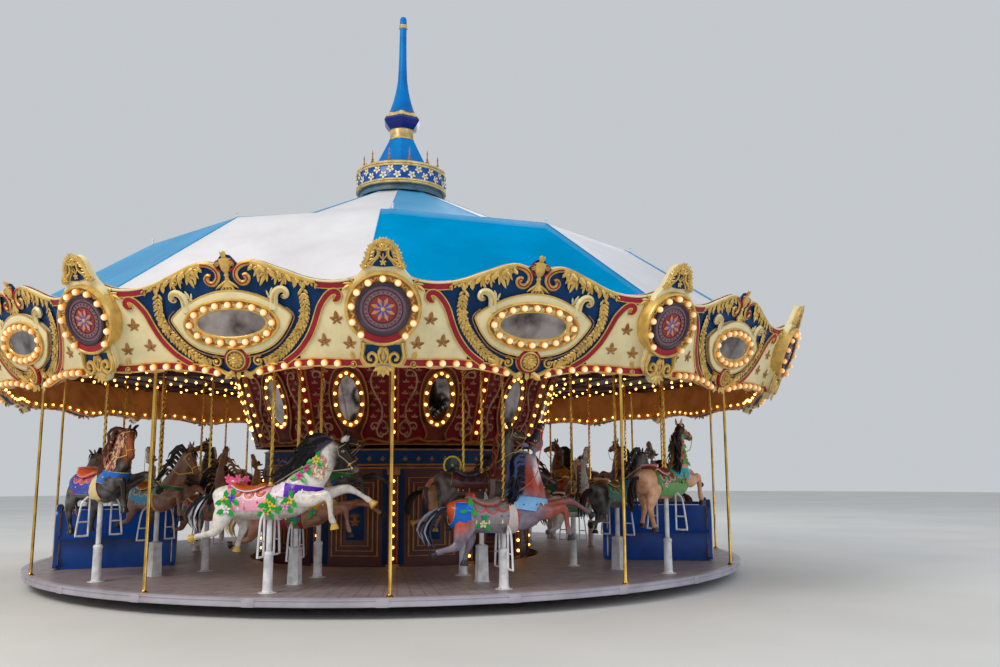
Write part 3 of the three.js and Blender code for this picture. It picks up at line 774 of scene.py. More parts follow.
class CAROUSEL_OT_crown(bpy.types.Operator):
    """Crown ring with gilt mouldings, two rows of florets and twelve pinnacles"""
    bl_idname = "carousel.crown"
    bl_label = "Crown"
    radius = 0.765
    florets = 20

    def execute(self, context):
        r = self.radius
        gold, florets, tips = new_part(), new_part(), new_part()
        for low, high in ((6.335, 6.41), (6.63, 6.715)):
            mid = (low + high) / 2
            lathe(gold, [(r - 0.02, low), (r + 0.016, low), (r + 0.024, low + 0.012), (r + 0.016, mid - 0.008),
                (r + 0.008, mid), (r + 0.018, mid + 0.008), (r + 0.022, high - 0.01), (r + 0.012, high),
                (r - 0.03, high), (r - 0.03, low)], 72)
        floret = at(0, 0, 0, 30, 0.070)
        for i in range(self.florets):
            step = 360 / self.florets
            for height, shift in ((6.575, 0.0), (6.475, 0.5)):
                spot = upright((i + shift + 0.3) * step, r + 0.002, height)
                stamp(florets, "rosette", spot @ floret, rgb("#F2E8C8"))
                stamp(florets, "bead", spot @ at(0, 0, 0.012, 0, 0.017), rgb("#C9982E"))
        pinnacle = [(0, 0), (0.036, 0.0), (0.038, 0.02), (0.022, 0.035), (0.03, 0.06), (0.034, 0.085), (0.018, 0.1),
            (0.014, 0.12), (0.021, 0.13), (0.012, 0.145), (0.01, 0.22), (0.016, 0.235), (0.009, 0.25), (0.006, 0.28),
            (0, 0.3)]
        for i in range(BAYS):
            lathe(tips, pinnacle, 10, place((i + 0.5) * BAY - 2, 0.66, 6.70))
        piece(gold, "crown_gilding", "turntable", ("pale_gold",), ("crown",))
        piece(florets, "crown_florets", "turntable", ("painted_trim",))
        piece(tips, "crown_pinnacles", "turntable", ("motif_gold",))

        band = new_part()
        lathe(band, [(0.57, 6.33), (r - 0.004, 6.38), (r, 6.40), (r, 6.64), (r - 0.02, 6.70), (0.36, 6.705)], 72)
        piece(band, "crown_band", "turntable", ("crown_blue",))
        skirt = new_part()
        lathe(skirt, [(r - 0.02, 6.34), (r - 0.045, 6.335), (r - 0.05, 6.25), (r - 0.04, 6.23), (r - 0.09, 6.228)], 72)
        piece(skirt, "crown_collar", "turntable", ("collar_paint",))
        return {"FINISHED"}


class CAROUSEL_OT_spire(bpy.types.Operator):
    """Glossy spire: six-sided cone, pale band, navy bulge and a round needle with a gilt ring"""
    bl_idname = "carousel.spire"
    bl_label = "Spire"
    facets = 6

    def execute(self, context):
        turn = turned(-90)
        cone = new_part()
        lathe(cone, [(0.56, 6.705), (0.50, 6.80), (0.42, 6.95), (0.33, 7.13), (0.235, 7.325)], self.facets, turn)
        lathe(cone, [(0.245, 7.81), (0.205, 7.92), (0.165, 8.05), (0.13, 8.19), (0.105, 8.32), (0.085, 8.46),
            (0.073, 8.7), (0.066, 9.0), (0.061, 9.4), (0.06, 9.46)], 32)
        lathe(cone, [(0.06, 9.52), (0.062, 9.56), (0.06, 9.64), (0.045, 9.675), (0.02, 9.688), (0, 9.69)], 32)
        piece(cone, "spire_enamel_parts", "turntable", ("teal_gelcoat",), ("spire",), sharp=28)

        bulge = new_part()
        lathe(bulge, [(0.2, 7.5), (0.235, 7.51), (0.29, 7.575), (0.345, 7.65), (0.352, 7.67), (0.335, 7.7),
            (0.3, 7.735)], self.facets, turn)
        piece(bulge, "spire_bulge", "turntable", ("navy_gelcoat",), sharp=28)

        gold = new_part()
        lathe(gold, [(0.2, 7.32), (0.222, 7.32), (0.226, 7.335), (0.214, 7.345), (0.212, 7.42), (0.214, 7.495),
            (0.224, 7.505), (0.2, 7.51)], 36)
        lathe(gold, [(0.315, 7.725), (0.322, 7.735), (0.28, 7.775), (0.265, 7.8), (0.262, 7.815), (0.24, 7.82)],
            self.facets, turn)
        lathe(gold, [(0.06, 9.455), (0.078, 9.462), (0.082, 9.475), (0.068, 9.49), (0.078, 9.505), (0.076, 9.52),
            (0.06, 9.525)], 28)
        for i in range(self.facets):
            spot = upright(i * 360 / self.facets, 0.318, 7.735, radians(-25))
            stamp(gold, "fleur", spot @ at(0, 0, 0.0, 0, (0.07, 0.06, 0.06)))
            stamp(gold, "leaf", spot @ at(0, 0.01, 0.006, -90, (0.07, 0.04, 0.05)))
        piece(gold, "spire_gilding", "turntable", ("pale_gold",))
        return {"FINISHED"}


# Rounding boards, drawn for the right half and mirrored
BOARD_TOP = ((0.0, 0.67), (0.06, 0.66), (0.1, 0.64), (0.13, 0.64), (0.2, 0.66), (0.28, 0.665), (0.4, 0.635),
    (0.54, 0.58), (0.67, 0.53), (0.8, 0.475), (0.95, 0.432), (1.12, 0.412), (1.26, 0.418), (1.36, 0.44), (1.45, 0.475),
    (1.56, 0.49), (1.66, 0.49))
BOARD_FOOT = ((0.0, -0.56), (0.13, -0.55), (0.24, -0.553), (0.37, -0.522), (0.52, -0.495), (0.67, -0.478),
    (0.81, -0.472), (0.96, -0.474), (1.1, -0.482), (1.25, -0.49), (1.57, -0.48))
S_BAND = ((1.125, 0.232), (1.155, 0.225), (1.185, 0.255), (1.175, 0.295), (1.135, 0.308), (1.085, 0.29), (1.03, 0.238),
    (0.972, 0.16), (0.932, 0.072), (0.892, -0.02), (0.83, -0.135), (0.76, -0.228), (0.685, -0.308), (0.6, -0.37),
    (0.52, -0.42))
OVAL_FRAME = ((0.0, 0.365), (0.135, 0.355), (0.3, 0.31), (0.42, 0.255), (0.52, 0.205), (0.6, 0.145), (0.66, 0.085),
    (0.645, 0.03), (0.575, -0.08), (0.49, -0.174), (0.405, -0.233), (0.285, -0.283), (0.14, -0.31), (0.0, -0.32))
HORN = ((0.48, 0.15), (0.49, 0.22), (0.5, 0.285), (0.53, 0.335), (0.58, 0.358), (0.625, 0.345), (0.64, 0.305),
    (0.615, 0.278), (0.59, 0.292))
GARLAND = ((0.8, 0.35), (0.808, 0.27), (0.812, 0.16), (0.79, 0.055), (0.745, -0.04), (0.67, -0.14), (0.59, -0.228),
    (0.51, -0.3), (0.42, -0.36), (0.33, -0.405))
TOP_SCROLL = ((0.95, 0.41), (0.8, 0.452), (0.67, 0.505), (0.54, 0.558), (0.405, 0.612), (0.27, 0.64), (0.174, 0.622),
    (0.108, 0.566), (0.1, 0.495), (0.146, 0.437), (0.203, 0.44), (0.233, 0.482), (0.214, 0.512), (0.185, 0.505))
MOTIFS = ((1.13, 0.02), (1.245, -0.245), (0.975, -0.21))
BOARD_THICK = 0.045
SHIELD_LAMPS = ((-0.146, 0.268), (0, 0.312), (0.151, 0.272), (0.269, 0.162), (0.321, 0.015), (0.305, -0.138),
    (0.226, -0.271), (-0.22, -0.26), (-0.304, -0.132), (-0.314, 0.027), (-0.26, 0.17))
SHIELD_BODY = ((0.0, 0.69), (0.06, 0.675), (0.11, 0.63), (0.14, 0.56), (0.17, 0.48), (0.205, 0.4), (0.26, 0.33),
    (0.3, 0.24), (0.3, -0.2), (0.215, -0.33), (0.215, -0.46), (0.19, -0.56), (0.1, -0.6), (0.05, -0.68), (0.0, -0.7))


def mirrored(outline):
    """A whole outline from the points of its right half, which start and end on u = 0 or face each other."""
    back = [(-u, s) for u, s in reversed(outline) if abs(u) > 1e-6]
    return [*outline, *back]


def beside(run, offset):
    """The run moved sideways in its plane."""
    moved = []
    for i, (u, s) in enumerate(run):
        a, b = run[max(i - 1, 0)], run[min(i + 1, len(run) - 1)]
        ahead = Vector((b[0] - a[0], b[1] - a[1])).normalized()
        moved.append((u - ahead.y * offset, s + ahead.x * offset))
    return moved


def spaced(run, step):
    """Points and headings at equal steps along a plane run."""
    fine = smoothed(run, 12)
    walked, found = 0.0, [(*fine[0], degrees(atan2(fine[1][1] - fine[0][1], fine[1][0] - fine[0][0])))]
    for a, b in zip(fine, fine[1:]):
        walked += hypot(b[0] - a[0], b[1] - a[1])
        if walked >= step:
            walked -= step
            found.append((*b, degrees(atan2(b[1] - a[1], b[0] - a[0]))))
    return found


class Panel:
    """Collects the parts of one repeated panel by finish, then sets them round the carousel."""

    def __init__(self, matrix):
        self.matrix, self.parts = matrix, {}

    def part(self, finish):
        if finish not in self.parts:
            self.parts[finish] = new_part()
        return self.parts[finish]

    def one(self, finish, shape, matrix, colour=None):
        stamp(self.part(finish), shape, matrix, colour)

    def both(self, finish, shape, matrix):
        both_sides(self.part(finish), shape, matrix)

    def fan(self, finish, shape, turns, spot, size):
        """The same ornament at one spot, turned several ways."""
        for turn in turns:
            self.one(finish, shape, at(*spot, turn, size))

    def mirror(self, finish, half):
        """Moves a part drawn for the right half into the panel, and its mirror image."""
        mesh = to_mesh(half)
        both_sides(self.part(finish), mesh)
        bpy.data.meshes.remove(mesh)

    def both_sweeps(self, finish, run, sides=6, square=False):
        half = new_part()
        sweep(half, run, sides, square=square)
        self.mirror(finish, half)

    def rail(self, finish, run, stand, wide, deep, sides=4, square=False):
        """A rail of one section along plane points, on both sides."""
        self.both_sweeps(finish, along(run, stand, wide, deep), sides, square)

    def curl(self, finish, points, stand, wide, deep, sides=6):
        """A rail along a smooth curve through a few points."""
        self.rail(finish, smoothed(points, 3), stand, wide, deep, sides)

    def both_plates(self, finish, outline, low, high, bevel=0.0):
        half = new_part()
        plate(half, outline, low, high, bevel)
        self.mirror(finish, half)

    def plate(self, finish, outline, low, high, bevel=0.0):
        plate(self.part(finish), outline, low, high, bevel)

    def lathe(self, finish, profile, segments, matrix=None, colour=None):
        lathe(self.part(finish), profile, segments, matrix, colour)

    def rings(self, finish, rings, segments):
        oval_rings(self.part(finish), rings, segments)

    def finish(self, prefix, body, slot, replaces=(), slots=None):
        for finish, part in self.parts.items():
            bmesh.ops.transform(part, matrix=self.matrix, verts=part.verts)
            around(part)
            piece(part, prefix + "_" + finish, body, (finish,), replaces)
            replaces = ()


class CAROUSEL_OT_boards(bpy.types.Operator):
    """Twelve leaning rounding boards: navy fields, cream wings, oval mirrors, garlands and lamps"""
    bl_idname = "carousel.boards"
    bl_label = "Rounding boards"

    def execute(self, context):
        panel = Panel(on_board(BAY / 2, sizes().board_radius))
        for build in (self.fields, self.oval, self.gilding, self.lamps, self.back):
            build(panel)
        panel.finish("boards", "turntable", "painted_boards", ("rounding_boards",), {"gold_paint": "gilded_ornament"})
        return {"FINISHED"}

    def fields(self, panel):
        outline = [*BOARD_TOP, *reversed(BOARD_FOOT)]
        left = [(-u, v) for u, v in outline if u > 0]
        panel.plate("navy_enamel", [*outline, *reversed(left)], -BOARD_THICK, 0.0)
        wing = [(1.64, 0.45), (1.45, 0.44), (1.32, 0.385), (1.24, 0.345), *smoothed(S_BAND[2:13], 3), (0.7, -0.43),
            (0.81, -0.45), (1.1, -0.455), (1.57, -0.455)]
        panel.both_plates("cream_enamel", wing, 0.0, 0.014, 0.004)
        band, top = smoothed(S_BAND, 2), smoothed(BOARD_TOP[10:13], 3)
        rim, foot = smoothed(BOARD_TOP[3:], 2), smoothed(BOARD_FOOT[2:], 2)
        red, gold = "burgundy_enamel", "gold_paint"
        panel.rail(red, band, 0.014, 0.026, 0.012, 4, True)
        for offset in (-0.032, 0.032):
            panel.rail(gold, beside(band, offset), 0.018, 0.008, 0.013)
        panel.rail(red, beside(top, -0.045), 0.010, 0.028, 0.012, 4, True)
        panel.rail(gold, beside(top, -0.078), 0.012, 0.008, 0.012, 6)
        panel.rail("cream_enamel", beside(rim, -0.008), -0.006, 0.014, 0.022, 6)
        panel.rail(red, beside(foot, 0.045), 0.008, 0.034, 0.014, 4, True)
        for offset in (0.004, 0.085):
            panel.rail(gold, beside(foot, offset), 0.012, 0.010, 0.014)

    def oval(self, panel):
        cream, gold, brown = "cream_enamel", "gold_paint", "carved_brown"
        panel.plate(cream, mirrored(smoothed(OVAL_FRAME, 2)), 0.0, 0.055, 0.018)
        panel.rail(gold, smoothed(OVAL_FRAME, 3), 0.045, 0.012, 0.014)
        panel.rail("motif_gold", beside(smoothed(OVAL_FRAME[5:], 4), 0.034), 0.056, 0.006, 0.006, 6)
        horn, inside = smoothed(HORN, 3), smoothed(HORN[1:], 3)
        panel.both_sweeps(cream, [(u, v, 0.045, 0.050 - 0.0011 * i, 0.03) for i, (u, v) in enumerate(horn)])
        panel.both_sweeps(gold, [(u, v, 0.072, 0.014 - 0.0003 * i, 0.008) for i, (u, v) in enumerate(inside)], 4)
        panel.both(brown, "bead", at(0.60, 0.288, 0.075, 0, (0.016, 0.016, 0.012)))
        for finish, rings in ((gold, ((0.535, 0.272, 0.052, 0.014), (0.53, 0.268, 0.078, 0.014),
                (0.512, 0.254, 0.084, 0.014), (0.5, 0.243, 0.066, 0.014), (0.492, 0.237, 0.058, 0.014))),
                (brown, ((0.494, 0.238, 0.058, 0.014), (0.412, 0.164, 0.05, 0.018))),
                (gold, ((0.414, 0.17, 0.05, 0.018), (0.41, 0.166, 0.07, 0.018), (0.388, 0.15, 0.07, 0.02),
                (0.376, 0.141, 0.056, 0.02))), ("mirror_glass", ((0.38, 0.144, 0.056, 0.02),
                (0.28, 0.105, 0.0575, 0.02), (0.14, 0.052, 0.0585, 0.02), (0.001, 0.001, 0.059, 0.02)))):
            panel.rings(finish, rings, 56)
        # Small leaves lie in the channel between the lamps
        for u, v, heading in self.oval_spots(28):
            panel.fan(gold, "leaf", (heading + 40, heading - 40), (u, v, 0.056), (0.05, 0.040, 0.05))

    def oval_spots(self, count):
        """Points spaced evenly round the oval's lamp ring, with the heading along it."""
        half_width, half_height, middle, steps_round = 0.458, 0.203, 0.018, 360
        angles = [tau * i / steps_round for i in range(steps_round + 1)]
        ring = [(half_width * cos(a), middle + half_height * sin(a)) for a in angles]
        steps = [hypot(b[0] - a[0], b[1] - a[1]) for a, b in zip(ring, ring[1:])]
        gap = sum(steps) / count
        spots, run, at_next = [], 0.0, 0.0
        for (u, v), (u2, v2), step in zip(ring, ring[1:], steps):
            if run >= at_next - 1e-6 and len(spots) < count:
                spots.append((u, v, degrees(atan2(v2 - v, u2 - u))))
                at_next += gap
            run += step
        return spots

    def gilding(self, panel):
        gold = "gold_paint"
        scroll = enumerate(smoothed(TOP_SCROLL, 3))
        panel.both_sweeps(gold, [(u, v, 0.016, 0.018 + 0.012 * min(1, i / 18), 0.018) for i, (u, v) in scroll])
        panel.curl("burgundy_enamel", TOP_SCROLL[5:], 0.03, 0.010, 0.012, 4)
        for i, (u, v, heading) in enumerate(spaced(TOP_SCROLL[:6], 0.052)):
            reach = (0.065 + 0.12 * min(1, i / 11)) * (1.0, 0.72, 1.2, 0.8)[i % 4]
            shape = "acanthus" if reach > 0.11 and i % 4 != 1 else "leaf"
            turn = heading + (100, 128, 84, 112)[i % 4]
            panel.both(gold, shape, at(u, v - 0.008, 0.016, turn, (reach, reach * 0.9, reach)))
            panel.both(gold, "leaf", at(u, v - 0.012, 0.034, heading + (150, 60)[i % 2], reach * 0.6))
        for i, (u, v, heading) in enumerate(spaced(GARLAND, 0.041)):
            for turn in (-42, 42, 0) if i % 2 else (-42, 42):
                reach = 0.075 if turn else 0.055
                panel.both(gold, "leaf", at(u, v, 0.012, heading + turn, (reach * 1.1, reach * 0.9, reach * 1.3)))
        for u, v in ((0.80, 0.12), (0.79, 0.055), (0.755, -0.02), (0.675, -0.13), (0.60, -0.215)):
            panel.both(gold, "rosette", at(u, v, 0.03, 15, 0.058))
        for u, v in MOTIFS:
            panel.both("motif_gold", "fleur", at(u, v - 0.01, 0.014, 0, 0.15))
        panel.both(gold, "volute", at(0.235, -0.392, 0.03, 60, 0.13))
        panel.curl(gold, ((0.27, -0.45), (0.21, -0.49), (0.15, -0.525), (0.05, -0.55)), 0.02, 0.024, 0.022)
        for finish, shape, *spot in ((gold, "acanthus", 0.3, -0.45, 0.02, 30, 0.2),
                (gold, "volute", 1.265, -0.455, 0.028, 200, 0.09), (gold, "leaf", 1.27, -0.42, 0.02, 100, 0.1),
                (gold, "volute", 1.13, 0.245, 0.03, 100, 0.05), (gold, "acanthus", 1.37, 0.4, 0.015, -150, 0.17),
                ("cream_enamel", "acanthus", 0.42, 0.27, 0.012, 35, 0.17)):
            panel.both(finish, shape, at(*spot))
        self.finial(panel)
        self.boss(panel)

    def finial(self, panel):
        gold = "gold_paint"
        stand_up = Matrix.Translation((0, 0, 0.02)) @ Matrix.Rotation(-pi / 2, 4, "X")
        panel.lathe(gold, [(0, 0.78), (0.012, 0.76), (0.022, 0.735), (0.014, 0.715), (0.03, 0.7), (0.068, 0.69),
            (0.072, 0.665), (0.06, 0.61), (0.05, 0.575), (0.03, 0.555), (0.02, 0.54), (0.032, 0.52), (0.02, 0.5),
            (0.035, 0.45), (0.06, 0.4), (0, 0.38)], 14, Matrix.Diagonal((1, 1, 0.6, 1)) @ stand_up)
        panel.fan(gold, "leaf", range(-145, -34, 22), (0, 0.47, 0.02), (0.16, 0.06, 0.12))
        panel.fan(gold, "leaf", (70, 90, 110), (0, 0.69, 0.03), (0.09, 0.06, 0.08))
        panel.both(gold, "volute", at(0.088, 0.64, 0.03, 90, 0.055))
        panel.curl("burgundy_enamel", ((0.06, 0.68), (0.10, 0.66), (0.095, 0.60), (0.05, 0.56)), 0.03, 0.008, 0.008)
        back = [(0, 0.735), (0.05, 0.72), (0.10, 0.66), (0.12, 0.60), (0.12, 0.5)]
        panel.plate("navy_enamel", mirrored(back), -0.02, 0.006)

    def boss(self, panel):
        """A lion's mask on a round boss under the oval frame."""
        gold = "gold_paint"
        spot = Matrix.Translation((0, -0.37, 0.0))
        for finish, profile in (("burgundy_enamel", [(0.135, 0.0), (0.135, 0.055), (0.124, 0.07), (0.105, 0.065)]),
                (gold, [(0.112, 0.055), (0.11, 0.075), (0.098, 0.08), (0.09, 0.065), (0.06, 0.075), (0, 0.085)]),
                (gold, [(0.142, 0.0), (0.146, 0.02), (0.136, 0.03)])):
            panel.lathe(finish, profile, 28, spot)
        for turn in range(0, 360, 30):
            panel.one(gold, "leaf", spot @ at(0, 0, 0.075, turn, 1) @ at(0.03, 0, 0, 0, 0.055))
        for x, y, z, size in ((0, 0, 0.09, (0.042, 0.046, 0.03)), (0, -0.018, 0.115, (0.02, 0.017, 0.02)),
                (0.016, 0.014, 0.112, (0.007, 0.005, 0.006)), (-0.016, 0.014, 0.112, (0.007, 0.005, 0.006)),
                (0, 0.03, 0.105, (0.024, 0.012, 0.014))):
            panel.one(gold, "bead", spot @ at(x, y, z, 0, size))
        panel.both(gold, "leaf", at(0.05, -0.50, 0.03, -35, 0.14))
        panel.one(gold, "leaf", at(0, -0.48, 0.04, -90, 0.11))

    def lamps(self, panel):
        size = sizes().globe
        foot = ((1.1, -0.44), (0.96, -0.43), (0.81, -0.428), (0.67, -0.435), (0.52, -0.45), (0.37, -0.477),
            (0.24, -0.51))
        spots = [(x * u, v, 0.02) for u, v in foot for x in (1, -1)]
        spots += [(u, v, 0.052) for u, v, heading in self.oval_spots(16)]
        for u, v, stand in spots:
            panel.one("globe_lamps", "globe", at(u, v, stand, 0, size))
            panel.one("brass", "cup", at(u, v, stand - 0.01, 0, size))

    def back(self, panel):
        """Brown backs with a scalloped apron and a row of lamps inside the roof."""
        outline = [(u * 0.985, v) for u, v in (*BOARD_TOP, *reversed(BOARD_FOOT))]
        left = [(-u, v) for u, v in outline if u > 0]
        brown = "board_back"
        panel.plate(brown, [*outline, *reversed(left)], -BOARD_THICK - 0.02, -BOARD_THICK)
        for i in range(9):
            u = (i - 4) * 0.34
            drop = 0.05 * max(0, 1 - abs(u) / 0.5)
            half = [(0.17, -0.40), (0.15, -0.485 - drop), (0.09, -0.515 - drop)]
            scallop = [*((u - x, v) for x, v in half), (u, -0.525 - drop), *((u + x, v) for x, v in reversed(half))]
            panel.plate(brown, scallop, -BOARD_THICK - 0.04, -BOARD_THICK - 0.012)
        foot = smoothed(BOARD_FOOT, 4)
        for i in range(14):
            u = (i - 6.5) * 0.215
            v = min(foot, key=lambda p: abs(p[0] - abs(u)))[1] + 0.035
            down = at(u, v, -BOARD_THICK - 0.042) @ Matrix.Rotation(pi, 4, "Y")
            panel.one("amber_lamps", "lamp", down @ Matrix.Scale(sizes().lamp * 0.8, 4))


class CAROUSEL_OT_shields(bpy.types.Operator):
    """Round shields over the board joints, each with a ring of lamps, a painted disc, a crest and scrolls"""
    bl_idname = "carousel.shields"
    bl_label = "Shields"

    def execute(self, context):
        s = sizes()
        panel = Panel(on_board(0, s.board_radius * CORNER_STRETCH) @ Matrix.Translation((0, 0.115, 0)))
        gold, r = "gold_paint", s.shield_radius
        # The gold is the first piece of a shield
        panel.part(gold)
        panel.plate("cream_enamel", mirrored(smoothed(SHIELD_BODY, 2)), -0.06, 0.02, 0.006)
        panel.lathe(gold, [(r - 0.03, -0.13), (r - 0.012, -0.11), (r - 0.005, -0.05), (r + 0.004, 0.0),
            (r - 0.004, 0.02), (r, 0.06), (r - 0.01, 0.085), (r - 0.03, 0.09), (r - 0.04, 0.075)], 48)
        panel.lathe("carved_brown", [(r - 0.042, 0.075), (0.27, 0.06)], 48)
        moulding = [(0.275, 0.055), (0.272, 0.085), (0.255, 0.092), (0.235, 0.08)]
        panel.lathe("painted_trim", moulding, 48, colour=rgb("#3E3444"))
        self.disc(panel)
        for u, v in SHIELD_LAMPS:
            panel.one("globe_lamps", "globe", at(u, v, 0.07, 0, s.globe))
            panel.one(gold, "cup", at(u, v, 0.06, 0, s.globe))
        for turn in range(12, 372, 12):
            if not -135 < (turn + 180) % 360 - 180 < -45:
                for lean in (35, -35):
                    panel.one(gold, "leaf", turned(turn) @ at(0.288, 0, 0.066, lean, (0.055, 0.035, 0.05)))
        arc = [(0.325 * cos(radians(a)), 0.325 * sin(radians(a))) for a in range(-128, -51, 7)]
        sweep(panel.part("burgundy_enamel"), along(arc, 0.066, 0.042, 0.014), 4, square=True)
        self.crest(panel)
        self.foot(panel)
        panel.finish("shields", "turntable", "painted_boards", (), {"gold_paint": "gilded_ornament"})
        return {"FINISHED"}

    def disc(self, panel):
        """A plain painted roundel: rings and a star of petals in rose, orange and blue."""
        trim = "painted_trim"
        for outer, inner, stand, colour in ((0.24, 0.205, 0.075, "#7E5E68"), (0.205, 0.195, 0.08, "#2E2438"),
                (0.195, 0.15, 0.077, "#8E6A72"), (0.15, 0.14, 0.082, "#4A2438"), (0.14, 0.0, 0.078, "#A03A36")):
            panel.lathe(trim, [(outer, stand - 0.004), (inner, stand)], 48, colour=rgb(colour))
        for turn in range(0, 360, 45):
            panel.one(trim, "leaf", at(0, 0, 0.08, turn + 22.5, (0.13, 0.085, 0.05)), rgb("#D98A5A"))
            panel.one(trim, "leaf", at(0, 0, 0.082, turn, (0.10, 0.06, 0.05)), rgb("#5A5AA0"))
        for turn in range(0, 360, 15):
            panel.one(trim, "bead", turned(turn) @ at(0.172, 0, 0.08, 0, (0.014, 0.008, 0.006)), rgb("#6E3A4A"))
        panel.one(trim, "bead", at(0, 0, 0.085, 0, (0.026, 0.026, 0.018)), rgb("#E0B070"))

    def crest(self, panel):
        gold = "gold_paint"
        ground = [(0.0, 0.66), (0.06, 0.62), (0.09, 0.54), (0.12, 0.43), (0.0, 0.42)]
        panel.plate("navy_enamel", mirrored(ground), 0.02, 0.028)
        edge = ((0.215, 0.41), (0.18, 0.45), (0.155, 0.51), (0.14, 0.575), (0.10, 0.635), (0.05, 0.67), (0.0, 0.685))
        panel.curl(gold, edge, 0.03, 0.024, 0.03)
        for reach, spread in ((0.0, 0.11), (0.022, 0.075)):
            plume = ((0.03 + spread * 1.2, 0.425), (0.02 + spread, 0.47), (spread * 0.55, 0.53), (spread * 0.5, 0.59),
                (spread * 0.75, 0.635))
            panel.curl(gold, plume, 0.045 - reach, 0.012, 0.016, 4)
        for i, (u, v, heading) in enumerate(spaced(edge, 0.03)):
            reach = 0.075 if i % 2 else 0.06
            panel.both("pale_gold", "leaf", at(u, v, 0.04, heading - 60, (reach * 0.7, reach * 0.7, reach)))
            panel.both(gold, "leaf", at(u, v, 0.045, heading + 50, (reach, reach * 0.6, reach)))
        panel.both(gold, "volute", at(0.17, 0.43, 0.05, 20, 0.08))
        panel.fan(gold, "leaf", (90, 55, 125, 25, 155), (0, 0.585, 0.05), (0.075, 0.05, 0.07))
        panel.one(gold, "rosette", at(0, 0.47, 0.045, 0, 0.036))
        panel.fan(gold, "leaf", (90, 50, 130), (0, 0.495, 0.04), (0.07, 0.03, 0.05))

    def foot(self, panel):
        gold = "gold_paint"
        ground = [(0.02, -0.38), (0.17, -0.38), (0.19, -0.48), (0.16, -0.57), (0.03, -0.57)]
        panel.both_plates("navy_enamel", ground, 0.02, 0.03)
        panel.curl(gold, ((0.195, -0.35), (0.2, -0.42), (0.21, -0.5), (0.175, -0.57), (0.115, -0.59), (0.068, -0.55),
            (0.072, -0.49), (0.115, -0.46), (0.148, -0.49), (0.14, -0.53), (0.112, -0.53)), 0.045, 0.019, 0.028)
        outer = ((0.22, -0.34), (0.228, -0.42), (0.236, -0.50), (0.20, -0.585), (0.14, -0.612))
        panel.curl("pale_gold", outer, 0.03, 0.009, 0.014)
        panel.curl(gold, ((0.02, -0.40), (0.045, -0.45), (0.04, -0.52), (0.012, -0.57)), 0.04, 0.016, 0.02)
        panel.fan(gold, "leaf", (-90, -58, -122, -25, -155), (0, -0.60, 0.05), (0.115, 0.08, 0.09))
        panel.fan(gold, "leaf", (-90,), (0, -0.40, 0.05), (0.14, 0.05, 0.08))
        panel.fan(gold, "leaf", (-60, -120), (0, -0.40, 0.05), (0.10, 0.05, 0.08))


# Inside of the ride
DRUM_FOOT, DRUM_TOP = (2.31, 1.93), (2.74, 3.2)
DRUM_LEAN = atan2((DRUM_TOP[0] - DRUM_FOOT[0]) / CORNER_STRETCH, DRUM_TOP[1] - DRUM_FOOT[1])
DRUM_MIDDLE = (DRUM_FOOT[0] + DRUM_TOP[0]) / 2 / CORNER_STRETCH
DRUM_HEIGHT = (DRUM_FOOT[1] + DRUM_TOP[1]) / 2
HOUSING_RADIUS = 2.18
CHARIOT_CIRCLE = 4.25
EGG_FRAME = ((0.0, 0.5), (0.1, 0.485), (0.19, 0.42), (0.25, 0.3), (0.285, 0.12), (0.28, -0.1), (0.24, -0.28),
    (0.18, -0.4), (0.14, -0.5), (0.16, -0.6), (0.0, -0.6))


